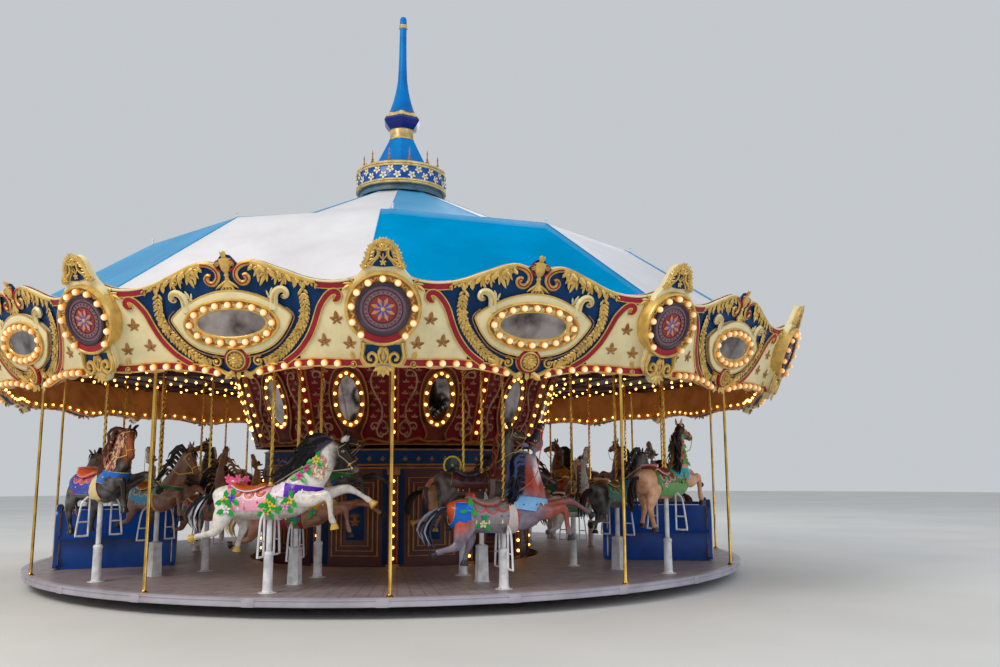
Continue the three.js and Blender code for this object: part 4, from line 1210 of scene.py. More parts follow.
class CAROUSEL_OT_drum(bpy.types.Operator):
    """Upper drum: red panels with oval mirrors in lamps, carved scrolls, small gold motifs and corner pilasters"""
    bl_idname = "carousel.drum"
    bl_label = "Upper drum"

    def execute(self, context):
        brown, mauve, size = "carved_brown", "scroll_mauve", sizes().lamp
        panel = Panel(upright(BAY / 2, DRUM_MIDDLE, DRUM_HEIGHT, DRUM_LEAN))
        panel.plate("drum_paint", [(-0.607, -0.665), (0.607, -0.665), (0.70, 0.665), (-0.70, 0.665)], -0.03, 0.004)
        # The carving is the second piece, before its frame
        panel.part(brown)
        panel.plate("frame_brown", mirrored(smoothed(EGG_FRAME, 3)), 0.0, 0.03, 0.01)
        panel.curl(brown, EGG_FRAME, 0.03, 0.016, 0.014, 4)
        panel.rings(brown, ((0.245, 0.42, 0.03, 0.02), (0.24, 0.415, 0.05, 0.02), (0.22, 0.39, 0.045, 0.02),
            (0.17, 0.345, 0.034, 0.02), (0.168, 0.343, 0.05, 0.02), (0.15, 0.335, 0.04, 0.02)), 36)
        panel.rings("mirror_glass", ((0.155, 0.338, 0.04, 0.02), (0.08, 0.17, 0.042, 0.02),
            (0.001, 0.001, 0.042, 0.02)), 36)
        for i in range(14):
            angle = tau * (i + 0.5) / 14
            panel.one("amber_lamps", "lamp", at(0.2 * cos(angle), 0.02 + 0.375 * sin(angle), 0.036, 0, size))
        for points, wide, deep in ((((0.47, -0.5), (0.44, -0.545), (0.39, -0.53), (0.37, -0.46), (0.4, -0.38),
                (0.455, -0.27), (0.475, -0.14), (0.44, -0.02), (0.38, 0.1), (0.345, 0.22), (0.36, 0.34), (0.41, 0.41),
                (0.47, 0.43), (0.515, 0.39), (0.5, 0.34), (0.465, 0.345)), 0.017, 0.018),
                (((0.4, -0.36), (0.33, -0.34), (0.29, -0.39), (0.31, -0.44), (0.35, -0.42)), 0.014, 0.015),
                (((0.46, -0.3), (0.53, -0.37), (0.53, -0.47), (0.48, -0.52)), 0.014, 0.015)):
            panel.curl(mauve, points, 0.012, wide, deep, 4)
        panel.both(brown, "acanthus", at(0.40, -0.56, 0.01, 60, 0.10))
        panel.both(brown, "acanthus", at(0.44, 0.05, 0.01, 150, 0.12))
        for row in range(7):
            for column in range(4):
                u = 0.33 + 0.085 * column
                v = 0.58 - 0.17 * row - 0.085 * (column % 2)
                if u < 0.54 + 0.06 * v and v > -0.6:
                    panel.both(mauve, "sprig", at(u, v, 0.004, 90, 0.068))
        wave = ((0.0, -0.60), (0.12, -0.615), (0.25, -0.57), (0.38, -0.60), (0.50, -0.63), (0.60, -0.62))
        low = ((0.0, -0.655), (0.3, -0.655), (0.607, -0.655))
        high = ((0.0, 0.645), (0.3, 0.645), (0.70, 0.645))
        for points, wide, deep in ((wave, 0.022, 0.018), (low, 0.016, 0.02), (high, 0.02, 0.02)):
            panel.curl(brown, points, 0.015, wide, deep)
        panel.finish("drum", "turntable", "drum_panels", ("upper_drum",))

        corner = Panel(upright(0, DRUM_MIDDLE * CORNER_STRETCH, DRUM_HEIGHT, DRUM_LEAN * 1.03))
        corner.plate(brown, box(-0.075, -0.66, 0.075, 0.66), -0.05, 0.0, 0.008)
        corner.plate("drum_paint", box(-0.045, -0.60, 0.045, 0.60), 0.0, 0.008, 0.004)
        for side in (-0.06, 0.06):
            sweep(corner.part(brown), along(((side, -0.62), (side, 0.62)), 0.002, 0.009, 0.012), 6)
        for i in range(7):
            corner.one("amber_lamps", "lamp", at(0, 0.48 - 0.16 * i, 0.006, 0, size))
            corner.one(brown, "rosette", at(0, 0.48 - 0.16 * i, 0.006, 0, 0.042))
        corner.finish("drum_corners", "turntable", "drum_panels")
        return {"FINISHED"}


class CAROUSEL_OT_housing(bpy.types.Operator):
    """Fixed centre housing: red panels with nested gilt mouldings, navy frieze and lamp pilasters"""
    bl_idname = "carousel.housing"
    bl_label = "Centre housing"

    def execute(self, context):
        red, navy, brown = "housing_paint", "navy_enamel", "carved_brown"
        panel = Panel(upright(BAY / 2, HOUSING_RADIUS / CORNER_STRETCH, 0))
        half = 0.566
        panel.plate(red, box(-half, 0.121, half, 1.62), -0.03, 0.0)
        panel.plate(navy, box(-half, 1.62, half, 1.88), -0.03, 0.006)
        for inset in (0.0, 0.07, 0.14):
            nested = box(inset - 0.34, 0.36 + inset, 0.34 - inset, 1.46 - inset)
            sweep(panel.part(brown), along(nested, 0.006, 0.012, 0.012), 4, square=True, closed=True)
        panel.plate(navy, box(-0.13, 0.58, 0.13, 1.24), 0.0, 0.008, 0.003)
        panel.one(brown, "fleur", at(0, 0.82, 0.008, 0, 0.16))
        for side in (-1, 1):
            panel.one(brown, "acanthus", at(0, 0.92, 0.01, 90 - side * 90, 0.09))
            panel.plate(navy, box(side * 0.44 - 0.035, 0.24, side * 0.44 + 0.035, 1.58), 0.0, 0.012, 0.004)
        for i in range(5):
            panel.one("motif_gold", "fleur", at((i - 2) * 0.2, 1.72, 0.006, 0, 0.08))
        for height, deep in ((0.16, 0.03), (1.60, 0.022), (1.645, 0.014), (1.862, 0.024)):
            sweep(panel.part(brown), along(((-half, height), (half, height)), 0, 0.018, deep), 6)
        panel.finish("housing", "base", "housing_panels", ("centre_housing",))

        corner = Panel(upright(0, HOUSING_RADIUS, 0))
        corner.plate(red, box(-0.08, 0.122, 0.08, 1.60), -0.045, 0.0, 0.006)
        for low, high in ((1.50, 1.62), (0.122, 0.25)):
            corner.plate(brown, box(-0.095, low, 0.095, high), -0.05, 0.008, 0.008)
        for side in (-0.06, 0.06):
            sweep(corner.part(brown), along(((side, 0.27), (side, 1.48)), 0.0, 0.007, 0.008), 6)
        for i in range(8):
            corner.one("amber_lamps", "lamp", at(0, 0.33 + 0.155 * i, 0.0, 0, sizes().lamp))
        corner.finish("housing_corners", "base", "housing_panels")
        return {"FINISHED"}


class CAROUSEL_OT_ceiling(bpy.types.Operator):
    """Underside of the roof: radial sweeps, panel battens and rings of lamps"""
    bl_idname = "carousel.ceiling"
    bl_label = "Ceiling"
    rings = (5.72, 5.2, 4.62, 4.02, 3.42, 2.98)
    lamp_step = 0.36

    def execute(self, context):
        z = sizes().ceiling_height
        beams = new_part()
        for drop, wide, deep in ((0.03, 0.035, 0.03), (0.062, 0.018, 0.005)):
            sweep(beams, [(0, y, z - drop, wide, deep) for y in (-2.66, -5.8)], 4, square=True)
        for radius in (3.2, 3.72, 4.3, 4.9, 5.46):
            half = radius * tan(pi / BAYS) - 0.05
            near = [place(BAY / 2, radius, z - 0.012) @ Vector((x, 0, 0)) for x in (-half, half)]
            sweep(beams, [(*p, 0.02, 0.012) for p in near], 4, square=True)
        around(beams)
        piece(beams, "ceiling_beams", "turntable", ("ceiling_paint",))
        lamps = new_part()
        for radius in self.rings:
            half = radius * tan(pi / BAYS)
            count = round(2 * half / self.lamp_step)
            for i in range(count):
                x = (i + 0.5) / count * 2 * half - half
                down = place(BAY / 2, radius, z - 0.004) @ at(x, 0) @ Matrix.Rotation(pi, 4, "X")
                stamp(lamps, "lamp", down @ Matrix.Scale(sizes().lamp, 4))
        around(lamps)
        piece(lamps, "ceiling_lamps", "turntable", ("amber_lamps",))
        for name, finish in (("ceiling", "ceiling_paint"), ("centre_mast", "base_steel"),
                ("base_plinth", "base_steel")):
            node = bpy.data.objects[name]
            for slot in node.material_slots:
                slot.material = MATERIALS[finish]
            if not node.material_slots:
                node.data.materials.append(MATERIALS[finish])
        return {"FINISHED"}


class CAROUSEL_OT_platform(bpy.types.Operator):
    """Turning platform with radial planks, a pale metal rim, sweep rods and the pole posts"""
    bl_idname = "carousel.platform"
    bl_label = "Platform"
    rim_segments = 144
    inner_radius = 2.335
    deck_thickness = 0.10
    round_post = ((0.0385, 0), (0.1, 0), (0.1, 0.008), (0.064, 0.014), (0.056, 0.03), (0.052, 0.22), (0.052, 0.4),
        (0.057, 0.41), (0.057, 0.425), (0.048, 0.44), (0.0385, 0.447))
    boxed_post = ((0.0385, 0), (0.155, 0), (0.155, 0.008), (0.132, 0.012), (0.112, 0.4), (0.118, 0.405), (0.118, 0.42),
        (0.1, 0.43), (0.05, 0.44), (0.0385, 0.447))

    def execute(self, context):
        s = sizes()
        top, outer, low = s.deck_top, s.deck_radius, s.deck_top - self.deck_thickness
        planks = new_part()
        lathe(planks, box(self.inner_radius, low, outer - 0.05, top - 0.002), self.rim_segments, closed=True)
        decks = [f"deck_section_{i + 1:02d}" for i in range(BAYS)]
        piece(planks, "platform_planks", "turntable", ("deck_planks",), decks)
        rim = new_part()
        edge = [(-0.05, low + 0.002), (-0.012, low + 0.002), (-0.004, low + 0.012), (-0.004, low + 0.058),
            (-0.012, low + 0.061), (-0.012, low + 0.067), (-0.004, low + 0.07), (-0.004, top - 0.012),
            (0, top - 0.008), (0, top - 0.001), (-0.006, top), (-0.09, top), (-0.09, top - 0.003),
            (-0.05, top - 0.003)]
        lathe(rim, [(outer + out, z) for out, z in edge], self.rim_segments, closed=True)
        joint = new_part()
        for x in (-0.05, 0.05):
            for y in (0.04, -0.03):
                stamp(joint, "bead", at(x, y, 0.004, 0, (0.008, 0.008, 0.004)))
        plate(joint, box(-0.07, -0.045, 0.07, 0.045), -0.004, 0.003, 0.002)
        joint = to_mesh(joint)
        for i in range(2 * BAYS):
            stamp(rim, joint, upright(i * BAY / 2, outer - 0.004, top - 0.055))
        piece(rim, "platform_rim", "turntable", ("deck_rim",))

        rods, ceiling = new_part(), s.ceiling_height
        rod = [(0.045, top), (0.045, top + 0.006), (0.028, top + 0.02), (0.0195, top + 0.035), (0.0195, 1.6),
            (0.0195, ceiling - 0.05), (0.03, ceiling - 0.03), (0.04, ceiling - 0.002)]
        lathe(rods, rod, 12, place(ROD_TURN, s.rod_circle, 0))
        around(rods)
        piece(rods, "sweep_rods", "turntable", ("brass",))
        self.posts(top)
        return {"FINISHED"}

    def posts(self, top):
        """Posts in which the horse poles slide: boxed in the middle row, round in the others."""
        steel, bolts = new_part(), new_part()
        for bay in RIDE_BAYS:
            for row, (radius, scale) in ROWS.items():
                spot = place((bay + 0.5) * BAY + RIDE_TURN, radius, top - 0.002)
                if row == "middle":
                    squeezed = [(r * (0.72 if r > 0.04 else 1), z) for r, z in self.boxed_post]
                    lathe(steel, squeezed, 4, spot @ turned(45))
                else:
                    lathe(steel, self.round_post, 24, spot)
                reach = 0.093 if row == "middle" else 0.082
                for turn in range(45, 360, 90):
                    stamp(bolts, "bead", spot @ turned(turn) @ at(reach, 0, 0.010, 0, (0.009, 0.009, 0.007)))
        piece(steel, "pole_posts", "turntable", ("white_steel",))
        piece(bolts, "post_bolts", "turntable", ("base_steel",))


class CAROUSEL_OT_chariots(bpy.types.Operator):
    """Two lacquered chariots with scrolled sides, facing benches and gilt edges"""
    bl_idname = "carousel.chariots"
    bl_label = "Chariots"
    side = ((-0.84, 0.02), (-0.84, 0.1), (-0.8, 0.3), (-0.84, 0.55), (-0.8, 0.78), (-0.66, 0.88), (-0.48, 0.86),
        (-0.36, 0.72), (-0.24, 0.56), (0.0, 0.5), (0.24, 0.56), (0.36, 0.72), (0.48, 0.86), (0.66, 0.88), (0.8, 0.78),
        (0.84, 0.55), (0.8, 0.3), (0.84, 0.1), (0.84, 0.02))

    def execute(self, context):
        body, trim, seats = new_part(), new_part(), new_part()
        outline = smoothed(self.side, 3)
        inner = [(x * 0.955, 0.04 + z * 0.93) for x, z in outline]
        level = Matrix.Rotation(pi / 2, 4, "X")
        for sign in (1, -1):
            wall = Matrix.Translation((0, sign * 0.77, 0)) @ level
            plate(body, outline, -0.028, 0.028, 0.008, wall)
            for face in (-0.03, 0.03):
                edge = new_part()
                sweep(edge, along(inner, face, 0.012, 0.010), 6)
                for x, turn in ((-0.62, 0), (0.62, 180)):
                    stamp(edge, "volute", at(x, 0.62, face, turn, (0.22, 0.22, 0.12)))
                for turn in (0, 45, 135, 180):
                    stamp(edge, "acanthus", at(0, 0.24, face, turn, 0.3))
                stamp(edge, "rosette", at(0, 0.24, face, 0, 0.09))
                merge(trim, edge, wall)
        back = ((0.83, 0.40), (0.80, 0.44), (0.74, 0.80), (0.66, 0.81), (0.66, 0.40))
        bench = ((0.76, 0.03), (0.76, 0.40), (0.43, 0.40), (0.45, 0.03))
        cushion = ((0.74, 0.40), (0.74, 0.44), (0.44, 0.44), (0.44, 0.40))
        for sign in (1, -1):
            for part, shape, half in ((body, back, 0.74), (body, bench, 0.74), (seats, cushion, 0.73)):
                plate(part, [(sign * x, z) for x, z in shape], -half, half, 0.0, level)
        plate(body, box(-0.8, -0.74, 0.8, 0.74), 0.003, 0.035)
        parts = {"chariot_body": (to_mesh(body), "chariot_lacquer"), "chariot_trim": (to_mesh(trim), "gold_paint"),
            "chariot_seats": (to_mesh(seats), "burgundy_enamel")}
        for number, bay in enumerate(CHARIOT_BAYS, 1):
            spot = place((bay + 0.5) * BAY + RIDE_TURN, CHARIOT_CIRCLE, sizes().deck_top)
            for name, (mesh, finish) in parts.items():
                part = new_part()
                stamp(part, mesh, spot)
                piece(part, f"{name}_{number:02d}", "turntable", (finish,),
                    (f"chariot_{number:02d}",) if name == "chariot_body" else ())
        return {"FINISHED"}


# Horses. Local axes: x forward, y towards the ride's axis, z up from the seat, unscaled outer-row size.
TRUNK = ((-0.67, -0.13, 0.04, 0.05), (-0.63, -0.12, 0.11, 0.12), (-0.55, -0.135, 0.152, 0.165),
    (-0.42, -0.155, 0.168, 0.182), (-0.25, -0.185, 0.16, 0.172), (-0.05, -0.19, 0.157, 0.172),
    (0.13, -0.165, 0.16, 0.187), (0.28, -0.105, 0.152, 0.212))
NECKS = {"proud": ((0.35, 0.0, 0.128, 0.2), (0.375, 0.13, 0.098, 0.165), (0.355, 0.28, 0.076, 0.135),
    (0.345, 0.4, 0.064, 0.115), (0.37, 0.5, 0.056, 0.095)), "stretched": ((0.375, 0.0, 0.128, 0.2),
    (0.51, 0.13, 0.098, 0.165), (0.61, 0.27, 0.078, 0.14), (0.69, 0.375, 0.066, 0.12), (0.77, 0.435, 0.056, 0.1)),
    "raised": ((0.345, 0.0, 0.122, 0.195), (0.36, 0.13, 0.09, 0.145), (0.345, 0.28, 0.07, 0.115),
    (0.33, 0.42, 0.058, 0.095), (0.325, 0.53, 0.052, 0.082)), "tucked": ((0.365, 0.0, 0.128, 0.2),
    (0.44, 0.13, 0.1, 0.175), (0.475, 0.28, 0.082, 0.15), (0.51, 0.4, 0.068, 0.125), (0.575, 0.495, 0.058, 0.1))}
HEADS = {"proud": ((0.39, 0.585), (0.745, 0.455)), "stretched": ((0.8, 0.475), (1.02, 0.17)),
    "raised": ((0.335, 0.61), (0.485, 0.9)), "tucked": ((0.61, 0.53), (0.7, 0.165))}
HEAD_PROFILE = ((-0.05, 0.02, 0.05, 0.04), (0.06, 0.03, 0.082, 0.062), (0.2, 0.042, 0.098, 0.068),
    (0.36, 0.034, 0.084, 0.058), (0.52, 0.02, 0.062, 0.046), (0.7, 0.014, 0.05, 0.04), (0.85, 0.014, 0.052, 0.042),
    (0.95, 0.02, 0.044, 0.036), (1.0, 0.024, 0.024, 0.024))
FORE_NEAR = ((0.34, -0.095, -0.1, 0.11, 0.075), (0.5, -0.105, -0.135, 0.09, 0.06),
    (0.64, -0.105, -0.095, 0.062, 0.048), (0.7, -0.105, -0.085, 0.056, 0.047), (0.735, -0.105, -0.16, 0.038, 0.034),
    (0.75, -0.105, -0.29, 0.031, 0.029), (0.765, -0.105, -0.345, 0.04, 0.036), (0.785, -0.105, -0.385, 0.034, 0.033),
    (0.79, -0.105, -0.4, 0.04, 0.038))
FORE_FAR = ((0.34, 0.095, -0.1, 0.11, 0.075), (0.55, 0.105, -0.09, 0.088, 0.06), (0.76, 0.105, -0.037, 0.06, 0.047),
    (0.87, 0.105, -0.02, 0.052, 0.046), (0.97, 0.105, -0.06, 0.034, 0.032), (1.06, 0.105, -0.112, 0.03, 0.029),
    (1.1, 0.105, -0.138, 0.037, 0.036), (1.13, 0.105, -0.158, 0.033, 0.033), (1.145, 0.105, -0.168, 0.038, 0.038))
HIND_KICK = ((-0.45, -0.095, -0.19, 0.14, 0.088), (-0.52, -0.11, -0.33, 0.112, 0.07),
    (-0.565, -0.11, -0.44, 0.07, 0.05), (-0.61, -0.11, -0.495, 0.053, 0.042), (-0.69, -0.11, -0.515, 0.037, 0.033),
    (-0.76, -0.11, -0.53, 0.033, 0.03), (-0.8, -0.11, -0.54, 0.039, 0.037), (-0.83, -0.11, -0.55, 0.034, 0.033),
    (-0.84, -0.11, -0.553, 0.038, 0.037))
HIND_STAND = ((-0.45, -0.095, -0.19, 0.14, 0.088), (-0.545, -0.11, -0.33, 0.102, 0.066),
    (-0.6, -0.11, -0.44, 0.062, 0.046), (-0.59, -0.11, -0.5, 0.048, 0.04), (-0.56, -0.11, -0.58, 0.036, 0.032),
    (-0.53, -0.11, -0.645, 0.032, 0.03), (-0.515, -0.11, -0.675, 0.039, 0.037), (-0.5, -0.11, -0.7, 0.036, 0.034))
HIND_FAR = ((-0.43, 0.095, -0.19, 0.14, 0.088), (-0.385, 0.11, -0.33, 0.105, 0.068),
    (-0.36, 0.11, -0.43, 0.062, 0.046), (-0.372, 0.11, -0.49, 0.048, 0.04), (-0.4, 0.11, -0.56, 0.035, 0.032),
    (-0.42, 0.11, -0.62, 0.031, 0.029), (-0.425, 0.11, -0.645, 0.038, 0.036), (-0.43, 0.11, -0.665, 0.034, 0.034))
HOOVES = {"fore_near": ((0.79, -0.105, -0.395), (0.8, -0.105, -0.455)),
    "fore_far": ((1.14, 0.105, -0.165), (1.185, 0.105, -0.205)), "kick": ((-0.835, -0.11, -0.552),
    (-0.893, -0.11, -0.572)), "stand": ((-0.502, -0.11, -0.695), (-0.492, -0.11, -0.752)),
    "far": ((-0.43, 0.11, -0.66), (-0.436, 0.11, -0.718))}
SADDLE = ((-0.43, 0.015, 0.1, 0.03), (-0.405, 0.035, 0.13, 0.042), (-0.34, -0.005, 0.148, 0.045),
    (-0.24, -0.03, 0.15, 0.045), (-0.14, -0.02, 0.14, 0.045), (-0.08, 0.005, 0.11, 0.045), (-0.05, 0.02, 0.07, 0.035))
POSES = ("proud", "stretched", "raised")
HORSE_FINISHES = ("horse_coat", "hair_lacquer", "painted_trim", "gold_paint", "brass", "white_steel")
COAT, HAIR, TRIM, GOLD, BRASS, STEEL = range(6)


def xz(point, y=0.0):
    return Vector((point[0], y, point[1]))


class Carving:
    """One horse body in one pose: its skin, the lines that mane, bridle and trappings follow, and its trimmed parts."""

    def __init__(self, pose, grain):
        self.pose, self.grain = pose, grain
        poll, nose = (xz(p) for p in HEADS[pose])
        self.poll, self.long = poll, (nose - poll).length
        self.ahead = (nose - poll).normalized()
        self.jaw = Vector((self.ahead.z, 0, -self.ahead.x))
        self.standing = pose in ("proud", "tucked")
        self.skin = self.remesh(self.rough(True), grain, 0.16)
        self.torso = self.remesh(self.rough(False), grain, 0.11)
        part = bmesh.new()
        part.from_mesh(self.skin)
        self.tree = BVHTree.FromBMesh(part)
        part.free()
        self.shells = {}

    def head(self, t, across=0.0, down=0.0):
        """A point in the head: t from poll to nose, across in half widths, down towards the jaw in half depths."""
        stations = smoothed(HEAD_PROFILE, 6)
        near = min(stations, key=lambda s: abs(s[0] - t))
        return self.poll + self.ahead * (t * self.long) + self.jaw * (near[1] + down * near[2]) + Vector((0,
            across * near[3], 0))

    def rough(self, legs):
        body = new_part()
        flank = (0, 1, 0)
        spine = [(x, 0, z, deep, wide) for x, z, wide, deep in smoothed((*TRUNK, *NECKS[self.pose]), 3)]
        sweep(body, spine, 16, flank)
        face = [(*self.poll + self.ahead * (t * self.long) + self.jaw * shift, deep, wide) for t, shift, deep,
            wide in smoothed(HEAD_PROFILE, 3)]
        sweep(body, face, 14, flank)
        hind = HIND_STAND if self.standing else HIND_KICK
        for leg in (FORE_NEAR, FORE_FAR, hind, HIND_FAR) if legs else ():
            sweep(body, smoothed(leg, 2), 10, flank)
        # Haunches, shoulders, chest and cheeks swell out of the plain tubes
        swells = [((x, s * y, z), radii) for x, y, z, radii in ((-0.47, 0.085, -0.15, (0.17, 0.095, 0.165)),
            (0.31, 0.088, -0.09, (0.13, 0.078, 0.17)), (0.43, 0.05, -0.11, (0.1, 0.07, 0.1))) for s in (1, -1)]
        swells += [(self.head(t, s * across, down), radii) for t, across, down, radii in (
            (0.2, 0.45, 0.35, (0.062, 0.032, 0.062)), (0.9, 0.55, -0.05, (0.03, 0.018, 0.026))) for s in (1, -1)]
        for spot, radii in swells:
            stamp(body, "bead", at(*spot, 0, radii))
        return to_mesh(body)

    def remesh(self, mesh, grain, share):
        """Melts the overlapping tubes into one skin, smooths it and keeps a share of its faces."""
        obj = bpy.data.objects.new("carving", mesh)
        bpy.context.scene.collection.objects.link(obj)
        melt = obj.modifiers.new("melt", "REMESH")
        melt.mode = "VOXEL"
        melt.voxel_size = grain
        ease = obj.modifiers.new("ease", "SMOOTH")
        ease.factor = 0.5
        ease.iterations = 3
        thin = obj.modifiers.new("thin", "DECIMATE")
        thin.ratio = share
        bpy.context.view_layer.update()
        skin = bpy.data.meshes.new_from_object(obj.evaluated_get(bpy.context.evaluated_depsgraph_get()))
        bpy.data.objects.remove(obj)
        return skin

    def shell(self, name, planes, push, thick):
        """The skin inside some planes, lifted off and given a thickness, with a run along each of its edges."""
        if name not in self.shells:
            part = new_part()
            part.from_mesh(self.torso)
            for co, no in planes:
                bmesh.ops.bisect_plane(part, geom=part.verts[:] + part.edges[:] + part.faces[:], plane_co=co,
                    plane_no=no, clear_outer=True)
            bmesh.ops.remove_doubles(part, verts=part.verts, dist=self.grain * 0.15)
            part.normal_update()
            for vert in part.verts:
                vert.co += vert.normal * push
            part.normal_update()
            edges = rims(part)
            raised_up = bmesh.ops.extrude_face_region(part, geom=part.faces[:])["geom"]
            for vert in of_kind(raised_up, bmesh.types.BMVert):
                vert.co += vert.normal * thick
            bmesh.ops.recalc_face_normals(part, faces=part.faces)
            self.shells[name] = (to_mesh(part, "shell", WHITE), edges)
        return self.shells[name]

    def surface(self, x, z, side=-1, lift=0.0):
        """The frame of the skin where a level ray from one side meets it: local z points out of the skin."""
        hit, normal = self.tree.ray_cast(Vector((x, side * 0.6, z)), Vector((0, -side, 0)))[:2]
        if hit is None:
            return None
        across = Vector((0, 0, 1)).cross(normal).normalized()
        upward = normal.cross(across)
        return Matrix(((*across, 0), (*upward, 0), (*normal, 0), (*hit + normal * lift, 1))).transposed()


def rims(part):
    """The open edges of a part as closed runs of points, thinned to every second one."""
    following = {}
    for edge in part.edges:
        if len(edge.link_faces) == 1:
            a, b = edge.verts
            following.setdefault(a, []).append(b)
            following.setdefault(b, []).append(a)
    runs, seen = [], set()
    for start in following:
        if start in seen:
            continue
        run, here = [start], start
        seen.add(start)
        while True:
            ahead = [v for v in following[here] if v not in seen]
            if not ahead:
                break
            here = ahead[0]
            seen.add(here)
            run.append(here)
        if len(run) > 11:
            runs.append([v.co.copy() for v in run[::2]])
    return runs


# Painted styles of the seven horses that the picture shows best: coats with soft zones of (centre, radii, colour)
STYLES = {"outer_11": dict(pose="tucked", coat="#16100E", mane=("#5A3024", "#C98A70"), tail="#120E0C",
    patches=(("shoulder", 0.05, 0.17, -0.3, 0.03, "#E3CE8E", "#D98AA0"),),
    scales=tuple(((*field, ("#E8A088", "#F2C89A", "#8A4A3A", "#C07A64", "#5A2E22", "#F6DDB0"))
    for field in ((0.36, 0.17, 0.15, 0.15), (0.43, 0.31, 0.13, 0.15), (0.5, 0.44, 0.12, 0.13)))), saddle="#D9642A",
    rim="#E08A9A", blanket="#2A3FA8", edge="#D9B45C", band="#1568C8", band_edge="#E3C44A", bridle="#D9B45C",
    hoof="#2A2220", girth="#D9C28A", zones=(((0.68, 0, 0.36), (0.13, 0.2, 0.26), "#A85A30"),
    ((0.7, 0, -0.2), (0.2, 0.2, 0.2), "#2A1C16")), jewels=("#C22B2B", "#2AA84A", "#8A3FC0", "#E3C44A", "#2A6FD9"),
    flowers=()), "outer_12": dict(coat="#DED8D0", mane=("#07070B", "#3A3444"), tail="#101016", tail_light="#C9C9D2",
    cantle="#E85A8A", saddle="#C9602A", rim="#E8E4EE", blanket="#F0A8C0", edge="#E8E0EE", band="#5A1FB0",
    band_back="#F2E4F2", band_edge="#F0E6F6", bridle="#9A8A70", hoof="#C9A24A", girth="#E8E0DC",
    scales=((0.6, 0.24, 0.09, 0.13, ("#EDE3C4", "#D9B98A", "#F4F0E4", "#C98A8A")),),
    zones=(((0.93, 0, 0.36), (0.21, 0.14, 0.26), "#241C1C"), ((-0.45, 0, -0.1), (0.2, 0.3, 0.2), "#EFECE8"),
    ((0.0, 0, -0.36), (0.5, 0.2, 0.1), "#B9AEA8"), ((0.78, 0, -0.3), (0.1, 0.2, 0.14), "#C9C0B8")),
    jewels=("#F0D85A", "#C03F8A", "#FFFFFF"), flowers=((-0.46, -0.14, "#E8C83A"), (-0.38, -0.12, "#5A3FC0"),
    (-0.43, -0.24, "#F4E8EE"), (0.04, -0.17, "#E8C83A"), (0.1, -0.21, "#F4D23A"), (0.02, -0.26, "#E8C83A"),
    (0.3, -0.14, "#E8C83A"), (0.24, -0.2, "#F0A8C8"), (0.45, 0.2, "#D8409A"), (0.56, 0.3, "#E8C83A"),
    (0.38, 0.12, "#D8409A"))), "outer_01": dict(coat="#74687A", mane=("#090D1C", "#3A466A"), tail="#101626",
    tail_light="#8A90A0", saddle="#8A7A76", patches=(("banner", -0.6, -0.46, -0.32, -0.02, "#0F62C8", "#E8D23A"),
    ("strap", 0.03, 0.09, -0.4, 0.02, "#C9C0BC", "#C0392F")), rim="#C9332A", blanket="#8E8484", edge="#3A8A3A",
    band="#7FB4E0", band_edge="#1F4FC0", bridle="#C9502A", hoof="#2A2A30", girth="#C0392F",
    zones=(((0.38, 0, 0.26), (0.16, 0.2, 0.26), "#A03A22"), ((0.4, 0, 0.75), (0.2, 0.2, 0.2), "#2A2430"),
    ((-0.56, 0, -0.12), (0.17, 0.3, 0.24), "#C24E2A"), ((0.43, 0, 0.5), (0.12, 0.2, 0.14), "#8A7F8A"),
    ((0.42, -0.1, 0.38), (0.07, 0.12, 0.12), "#E4E0E4"), ((0.75, 0, -0.15), (0.35, 0.3, 0.2), "#9A4A34")),
    jewels=("#F0E6D0", "#2A6FD9"), flowers=((-0.3, -0.24, "#F0E0C0"), (-0.46, -0.08, "#0F7FE0"))),
    "outer_02": dict(coat="#C98F63", mane=("#17100F", "#3A2A28"), tail="#1C1416",
    patches=(("drape", -0.4, 0.36, -0.31, -0.16, "#5A9448", "#C9485A"),), saddle="#8A3A2E", rim="#E0A0A8",
    blanket="#3F7A3A", edge="#6FA04A", band="#1F9AA8", band_edge="#D9C24A", bridle="#A8722E", hoof="#3A2A20",
    girth="#3F7A3A", zones=(((0.36, 0, 0.45), (0.2, 0.2, 0.3), "#2E211E"),
    ((0.6, 0, 0.5), (0.2, 0.2, 0.14), "#6A4A34")), jewels=("#C9242E", "#E8A0A8"),
    flowers=((0.33, 0.26, "#C9242E"), (0.38, 0.14, "#C9242E"), (0.35, 0.38, "#D9404A"), (0.3, 0.33, "#C9242E"),
    (0.3, 0.19, "#D9404A"), (-0.3, -0.17, "#E8A0A8"), (0.22, -0.12, "#C9242E"))),
    "middle_11": dict(coat="#7A4A2E", mane=("#241812", "#4A3222"), tail="#241812", saddle="#A05A2A", rim="#D9B45C",
    blanket="#1A7FA8", edge="#E08A3A", band="#2A6A4A", band_edge="#D9C24A", bridle="#D9B45C", hoof="#2A2220",
    girth="#C9A24A", zones=(), jewels=("#C9332A", "#E3C44A"), flowers=()),
    "middle_01": dict(coat="#3A2620", mane=("#7A3A2A", "#A85A3A"), tail="#2A1C18", hoop="#E3CF3A", saddle="#2A2E3C",
    rim="#4A4E5C", blanket="#5A2A22", edge="#C9A24A", band="#6A2A22", band_edge="#C9A24A", bridle="#C9A24A",
    hoof="#2A2220", girth="#8A7A7A", zones=(), jewels=("#D9C24A", "#C9C0C8"), flowers=()),
    "middle_02": dict(coat="#1E1716", mane=("#14100F", "#2E2422"), tail="#14100F", saddle="#7A5A34", rim="#D9B45C",
    blanket="#1F8A78", edge="#C9402E", band="#1F7A8A", band_edge="#C9402E", bridle="#B9A06A", hoof="#2A2220",
    girth="#1F8A78", zones=(), jewels=("#C9402E", "#D9C24A"), flowers=())}
COATS = ("#2A1C16", "#5C3220", "#8A5230", "#B98A5C", "#D9D4CC", "#3B2A24", "#7A3A22", "#C9A27A", "#9A9290", "#E4DCCB")
